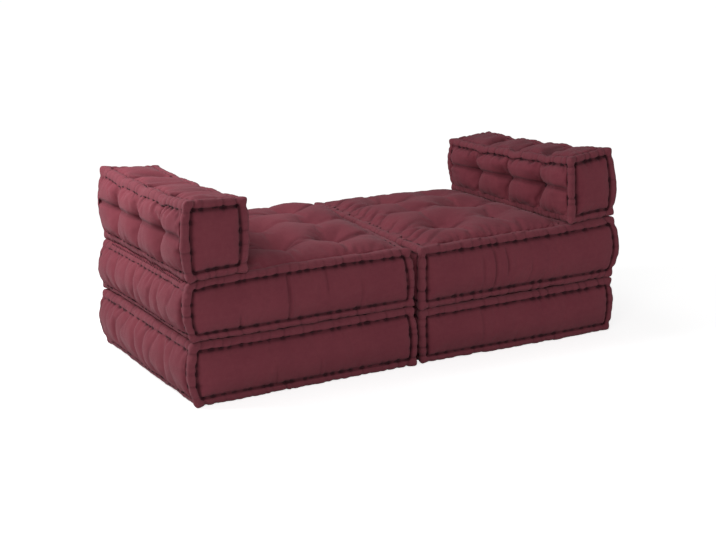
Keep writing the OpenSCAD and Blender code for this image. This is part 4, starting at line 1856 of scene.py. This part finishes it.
@dataclass
class Module:
    """One half of the sofa: base, seat and back cushion, and the strip that hinges the back to the seat.

    Attributes:
        length, depth: Distances between corner seams.
        inner: Distance of the inner corner seams from the middle of the sofa.
        back_t, back_h: Thickness and height of the back cushion.
        clear: Clearance between stacked cushions.
        thread, twine: Radius of the stitching thread and of the tufting twine.
        batting_clear: Space between the batting and the plain sides of the cover.
        strip_end: Distance of the hinge strip's ends from the corners.
        strip_lift, strip_t: Height of the strip's underside above the rolls, and its thickness.
        strip_dip: How far the strip lies behind the rolls' ridges on the line of the fold.
        strip_rows, strip_stops: Lines of the strip on either roll, and points on each.
        strip_pitch: Width of cloth between two lines.
        stitch_skip: Points from one stitch of the strip to the next.
        fold_reach: Distance above and below the fold's line of two points that hinge() works out and does
            not use.
    """

    side: Side
    length: float = 720 * MM
    depth: float = 700 * MM
    inner: float = 13 * MM
    back_t: float = 180 * MM
    back_h: float = 205 * MM
    clear: float = 0.3 * MM
    thread: float = 1.6 * MM
    twine: float = 1.3 * MM
    batting_clear: float = 21 * MM
    strip_end: float = 48 * MM
    strip_lift: float = 0.3 * MM
    strip_dip: float = 2.5 * MM
    strip_t: float = 1.0 * MM
    strip_rows: int = 4
    strip_stops: int = 150
    strip_pitch: float = 2 * MM
    stitch_skip: int = 3
    fold_reach: float = 4 * MM

    def __post_init__(self) -> None:
        """Reads the heights of the cushions from the frame and lays them out."""
        label = self.side.label
        base_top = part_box(f"{label}_base_cover")[1].z
        seat_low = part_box(f"{label}_seat_cover")[0].z
        back_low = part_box(f"{label}_back_cover")[0].z
        seed = SEED[self.side]
        seat_size = (self.length, self.depth, back_low - self.clear - seat_low)
        back_size = (self.back_t, self.depth, self.back_h)
        self.interface = back_low - self.clear / 2
        self.settling = SETTLING[self.side]
        base, seat, back = (TRAITS[self.side, part] for part in ("base", "seat", "back"))
        self.base = BaseCushion(self.side, "base", (self.length, self.depth, base_top), 0.0, seed, **base)
        self.seat = SeatCushion(self.side, "seat", seat_size, seat_low, seed + 10,
                                back_t=self.back_t, **seat)
        self.back = BackCushion(self.side, "back", back_size, back_low, seed + 20, **back)
        self.cushions = [self.base, self.seat, self.back]

    def settle(self, points: Points) -> Points:
        """Moves points of the module as its cushions have settled.

        Args:
            points: Points in the module's own frame.

        Returns:
            Where they lie after the settling.
        """
        x, y, z = points.T
        settling = self.settling
        across, ahead = np.clip(x / self.length, 0, 1), np.clip(y / self.depth, 0, 1)
        back_across = np.clip(x / self.back_t, 0, 1)
        heights = (0.0, self.base.size[2], self.interface, self.interface + self.back_h)
        level = np.interp(z, heights, range(4))
        out = points.copy()
        for number, moves in enumerate((settling.floor, settling.seam, settling.seat)):
            near = np.clip(1 - np.abs(level - number), 0, 1)[:, None]
            out += near * settling.moved(moves, across, ahead, settling.fade)
        above = np.clip(level - 2, 0, 1)
        out += above[:, None] * settling.moved(settling.back, back_across, ahead, 1.0)
        foot = (1 - smooth(0, 0.9, above)) * (z > self.interface)
        out[:, 0] -= settling.tuck * MM * smooth(0.4 * self.back_t, self.back_t, x) * foot
        return out

    def to_frame(self, points: Points) -> Points:
        """Places in the shared frame of points in the module's own frame."""
        out = self.settle(points) - np.array([self.length + self.inner, self.depth / 2, 0])
        out[:, 0] *= -self.side.value
        return out

    def start(self, stuffing: Stuffing) -> list[bpy.types.Object]:
        """Makes the shells and readies them for the simulation."""
        shells = []
        for cushion in self.cushions:
            shell = cushion.start_shell()
            stuffing.prepare(shell, *cushion.weights, cushion.spare)
            shells.append(shell)
        return shells

    def place(self, piece: bpy.types.Object, material: bpy.types.Material, slot: str) -> None:
        """Moves a piece from the module's frame to the shared one and finishes it."""
        points = self.to_frame(get_points(piece.data))
        points[:, 2] = np.maximum(points[:, 2], 0)
        set_points(piece.data, points)
        if self.side is Side.RIGHT:
            piece.data.flip_normals()
        piece.data.materials.append(material)
        LOG.info("%s: %d faces", piece.name, len(piece.data.polygons))

    def dress(self, finishes: Finishes) -> None:
        """Finishes the cushions and the hinge strip, and puts the cushions and the strip's stitches on their
        bodies.
        """
        for cushion in self.cushions:
            cushion.refine()
            cushion.detail()
            shell = cushion.shell
            set_points(shell.data, cushion.press(get_points(shell.data)))
        self.hinge(finishes)
        for cushion in self.cushions:
            self.dress_cushion(cushion, finishes)

    def dress_cushion(self, cushion: Cushion, finishes: Finishes) -> None:
        """Adds the stitching, twine and batting of one cushion and puts all of it on its body."""
        name = cushion.name
        stitching = join_tubes(f"{name}_stitching", [tube(path, self.thread * share)
                                                     for path, share in cushion.stitch_lines()])
        twine = join_tubes(f"{name}_tufting", cushion.twine_tubes(self.twine))
        batting = cushion.batting(self.batting_clear)
        for piece, material, slot in ((cushion.shell, finishes.cover, "cover_cotton"),
                                      (stitching, finishes.twine, "twine"), (twine, finishes.twine, "twine"),
                                      (batting, finishes.batting, "filling")):
            self.place(piece, material, slot)
            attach(piece, name)
        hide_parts(f"{name}_cover")
        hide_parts(f"{name}_ties")
        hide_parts(f"{name}_filling")

    def strip_lines(self, stops: Values) -> tuple[list[Points], list[Points]]:
        """Lines along the fold, from the seat's roll to the back's, at given places from front to rear.

        Args:
            stops: The places.

        Returns:
            The points of each line, and their normals.
        """
        halves = 2 * self.seat.roll.steps
        lines, ways = [], []
        rows = [(self.seat, Edge.OUTER_TOP, n) for n in reversed(range(self.strip_rows))]
        rows += [(self.back, Edge.OUTER_BOTTOM, n) for n in range(self.strip_rows)]
        for cushion, edge, step in rows:
            points, normals = cushion.roll_line(Face.OUTER, edge, step / halves)[1:]
            lines.append(between(stops, points[:, 1], points))
            ways.append(between(stops, points[:, 1], normals))
        middle = self.strip_rows
        neck = (lines[middle - 1] + lines[middle]) / 2 + np.array([self.strip_dip, 0, 0])
        lines.insert(middle, neck)
        ways.insert(middle, np.tile((-1.0, 0.0, 0.0), (len(neck), 1)))
        return lines, ways

    def sewn(self, lines: Sequence[Points], ways: Sequence[Points], outer: int, inner: int) -> list[Tube]:
        """Slanting stitches that hold one edge of the hinge strip.

        Args:
            lines: Lines of the strip.
            ways: Normals on them.
            outer: Number of the line at the edge.
            inner: Number of the line in which the stitches end.

        Returns:
            Vertices and faces of each stitch.
        """
        reach = self.strip_lift + self.strip_t + 0.4 * self.thread
        skip = self.stitch_skip
        made = []
        for n in range(skip, len(lines[0]) - skip, skip):
            path = [lines[line][stop] + ways[line][stop] * height for line, stop, height in
                    ((outer, n, 0.0), (outer, n, reach), (inner, n + 1, reach), (inner, n + 1, 0.0))]
            made.append(tube(np.array(path), np.full(len(path), 0.8 * self.thread)))
        return made

    def hinge(self, finishes: Finishes) -> None:
        """Makes the cotton strip that lines the fold between the seat's and the back's rolls."""
        label = self.side.label
        stops = np.linspace(self.strip_end, self.depth - self.strip_end, self.strip_stops)
        lines, ways = self.strip_lines(stops)
        top = self.strip_lift + self.strip_t
        strip = slab(f"{label}_hinge_strip", lines, ways, self.strip_lift, top)
        across = self.strip_pitch * np.arange(len(lines))
        woven = np.stack(np.meshgrid(across, stops, (0.0,), indexing="ij"), axis=-1).reshape(-1, 3)
        cloth = np.concatenate([woven, woven])
        set_vector(strip.data, "cloth", cloth)
        set_vector(strip.data, "threads", cloth / THREAD_PITCH)
        pieces = [(strip, finishes.hinge, "hinge_cotton")]
        for body, outer, inner in (("seat", 0, 2), ("back", -1, -3)):
            stitches = self.sewn(lines, ways, outer, inner)
            pieces.append((join_tubes(f"{label}_hinge_stitching_{body}", stitches), finishes.twine, "twine"))
        for piece, material, slot in pieces:
            self.place(piece, material, slot)
        ends = self.to_frame(np.array([[0.0, self.depth / 2, self.interface + side * self.fold_reach]
                                       for side in (-1, 1)]))
        tuple(ends[0])
        tuple(ends[1])
        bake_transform(strip)
        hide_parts(f"{label}_hinge_lower", f"{label}_hinge_upper")
        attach(pieces[1][0], f"{label}_seat")
        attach(pieces[2][0], f"{label}_back")


@dataclass(frozen=True)
class Camera:
    """The photograph's camera, solved on the sofa's corner seams, with its turns in degrees."""

    place: Triple = (-2.054, -3.7788, 1.2784)
    azimuth: float = -28.366
    elevation: float = 13.708
    roll: float = -0.897
    lens: float = 68.98

    def make(self) -> None:
        """Makes the camera and looks through it."""
        data = bpy.data.cameras.new("camera")
        camera = bpy.data.objects.new("camera", data)
        bpy.context.scene.collection.objects.link(camera)
        data.sensor_width = 36.0
        data.lens = self.lens
        data.clip_end = 60.0
        camera.location = self.place
        a, e, r = (math.radians(turn) for turn in (self.azimuth, self.elevation, self.roll))
        ahead = Vector((-math.sin(a) * math.cos(e), math.cos(a) * math.cos(e), -math.sin(e)))
        right = Vector((math.cos(a), math.sin(a), 0))
        up = right.cross(ahead)
        axes = (math.cos(r) * right + math.sin(r) * up, math.cos(r) * up - math.sin(r) * right, -ahead)
        camera.rotation_mode = "QUATERNION"
        camera.rotation_quaternion = Matrix(axes).transposed().to_quaternion()
        bpy.context.scene.camera = camera


@dataclass(frozen=True)
class Softbox:
    """Soft square light that points at the middle of the sofa, with its power in watts."""

    name: str
    place: Triple
    size: float
    power: float

    def make(self) -> None:
        """Makes the light."""
        data = bpy.data.lights.new(self.name, "AREA")
        data.shape = "SQUARE"
        data.size = self.size
        data.energy = self.power
        light = bpy.data.objects.new(self.name, data)
        light.location = self.place
        light.rotation_mode = "QUATERNION"
        light.rotation_quaternion = (LIT_POINT - Vector(self.place)).to_track_quat("-Z", "Y")
        bpy.context.scene.collection.objects.link(light)


LIT_POINT = Vector((0, 0, 0.3))
FLOOR_REACH = 30.0
SOFTBOXES = (Softbox("left_softbox", (-1.5, 0.38, 1.42), 0.65, 17.5),
             Softbox("top_softbox", (-0.3, 0.4, 2.4), 1.0, 5),
             Softbox("front_left_fill", (-2.2, -3.0, 2.0), 1.5, 21),
             Softbox("front_fill", (1.2, -3.2, 1.4), 2.0, 14))


def glow(tree: Tree, shown: Union[float, Wire], given: float) -> Wire:
    """Strength that is one value where the camera looks and another for the light that it gives."""
    path = tree.node("ShaderNodeLightPath", {}, {}, "Is Camera Ray")
    return path * (shown - given) + given


def make_stage() -> None:
    """Makes the floor, the white surroundings and the studio lights."""
    corners = FLOOR_REACH * np.array([(-1, -1, 0), (1, -1, 0), (1, 1, 0), (-1, 1, 0)])
    floor = make_object("floor", corners, [(0, 1, 2, 3)], smooth_shaded=False)
    floor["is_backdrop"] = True
    material, tree = new_material("floor_white")
    paint = tree.node("ShaderNodeBsdfDiffuse", {}, {"Color": (0.85, 0.85, 0.85)})
    place = tree.node("ShaderNodeNewGeometry", {}, {}, "Position")
    far = tree.node("ShaderNodeVectorMath", {"operation": "LENGTH"}, {0: place}, "Value")
    shown = tree.node("ShaderNodeMapRange", {}, {"Value": far, "From Min": 1.0, "From Max": 3.0,
                                                 "To Min": 0.75, "To Max": 0.88}, "Result")
    light = tree.node("ShaderNodeEmission", {}, {"Strength": glow(tree, shown, 0.0)})
    both = tree.node("ShaderNodeAddShader", {}, {0: paint, 1: light})
    tree.node("ShaderNodeOutputMaterial", {}, {"Surface": both})
    floor.data.materials.append(material)
    world = bpy.data.worlds.new("studio")
    bpy.context.scene.world = world
    world.use_nodes = True
    tree = Tree(world.node_tree)
    back = tree.node("ShaderNodeBackground", {}, {"Strength": glow(tree, 1.1, 0.21)})
    tree.node("ShaderNodeOutputWorld", {}, {"Surface": back})
    bpy.context.scene.view_settings.view_transform = "Standard"
    for softbox in SOFTBOXES:
        softbox.make()


def main() -> None:
    """Builds the sofa's looks and the studio."""
    logging.basicConfig(level=logging.INFO, format="%(message)s")
    Camera().make()
    make_stage()
    finishes = Finishes(cover=Cotton().make(), hinge=Cotton(name="hinge_cotton", relief=0.2 * MM).make(),
                        twine=Twine().make(), batting=Batting().make())
    stuffing = Stuffing()
    modules = [Module(side) for side in Side]
    shells = [shell for module in modules for shell in module.start(stuffing)]
    stuffing.run(shells)
    for module in modules:
        module.dress(finishes)
    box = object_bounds()
    for corner, cad in zip(box, CAD_BOX):
        LOG.info("box corner %s against %s", [round(x, 4) for x in corner], [round(x, 4) for x in cad])


if __name__ == "__main__":
    main()
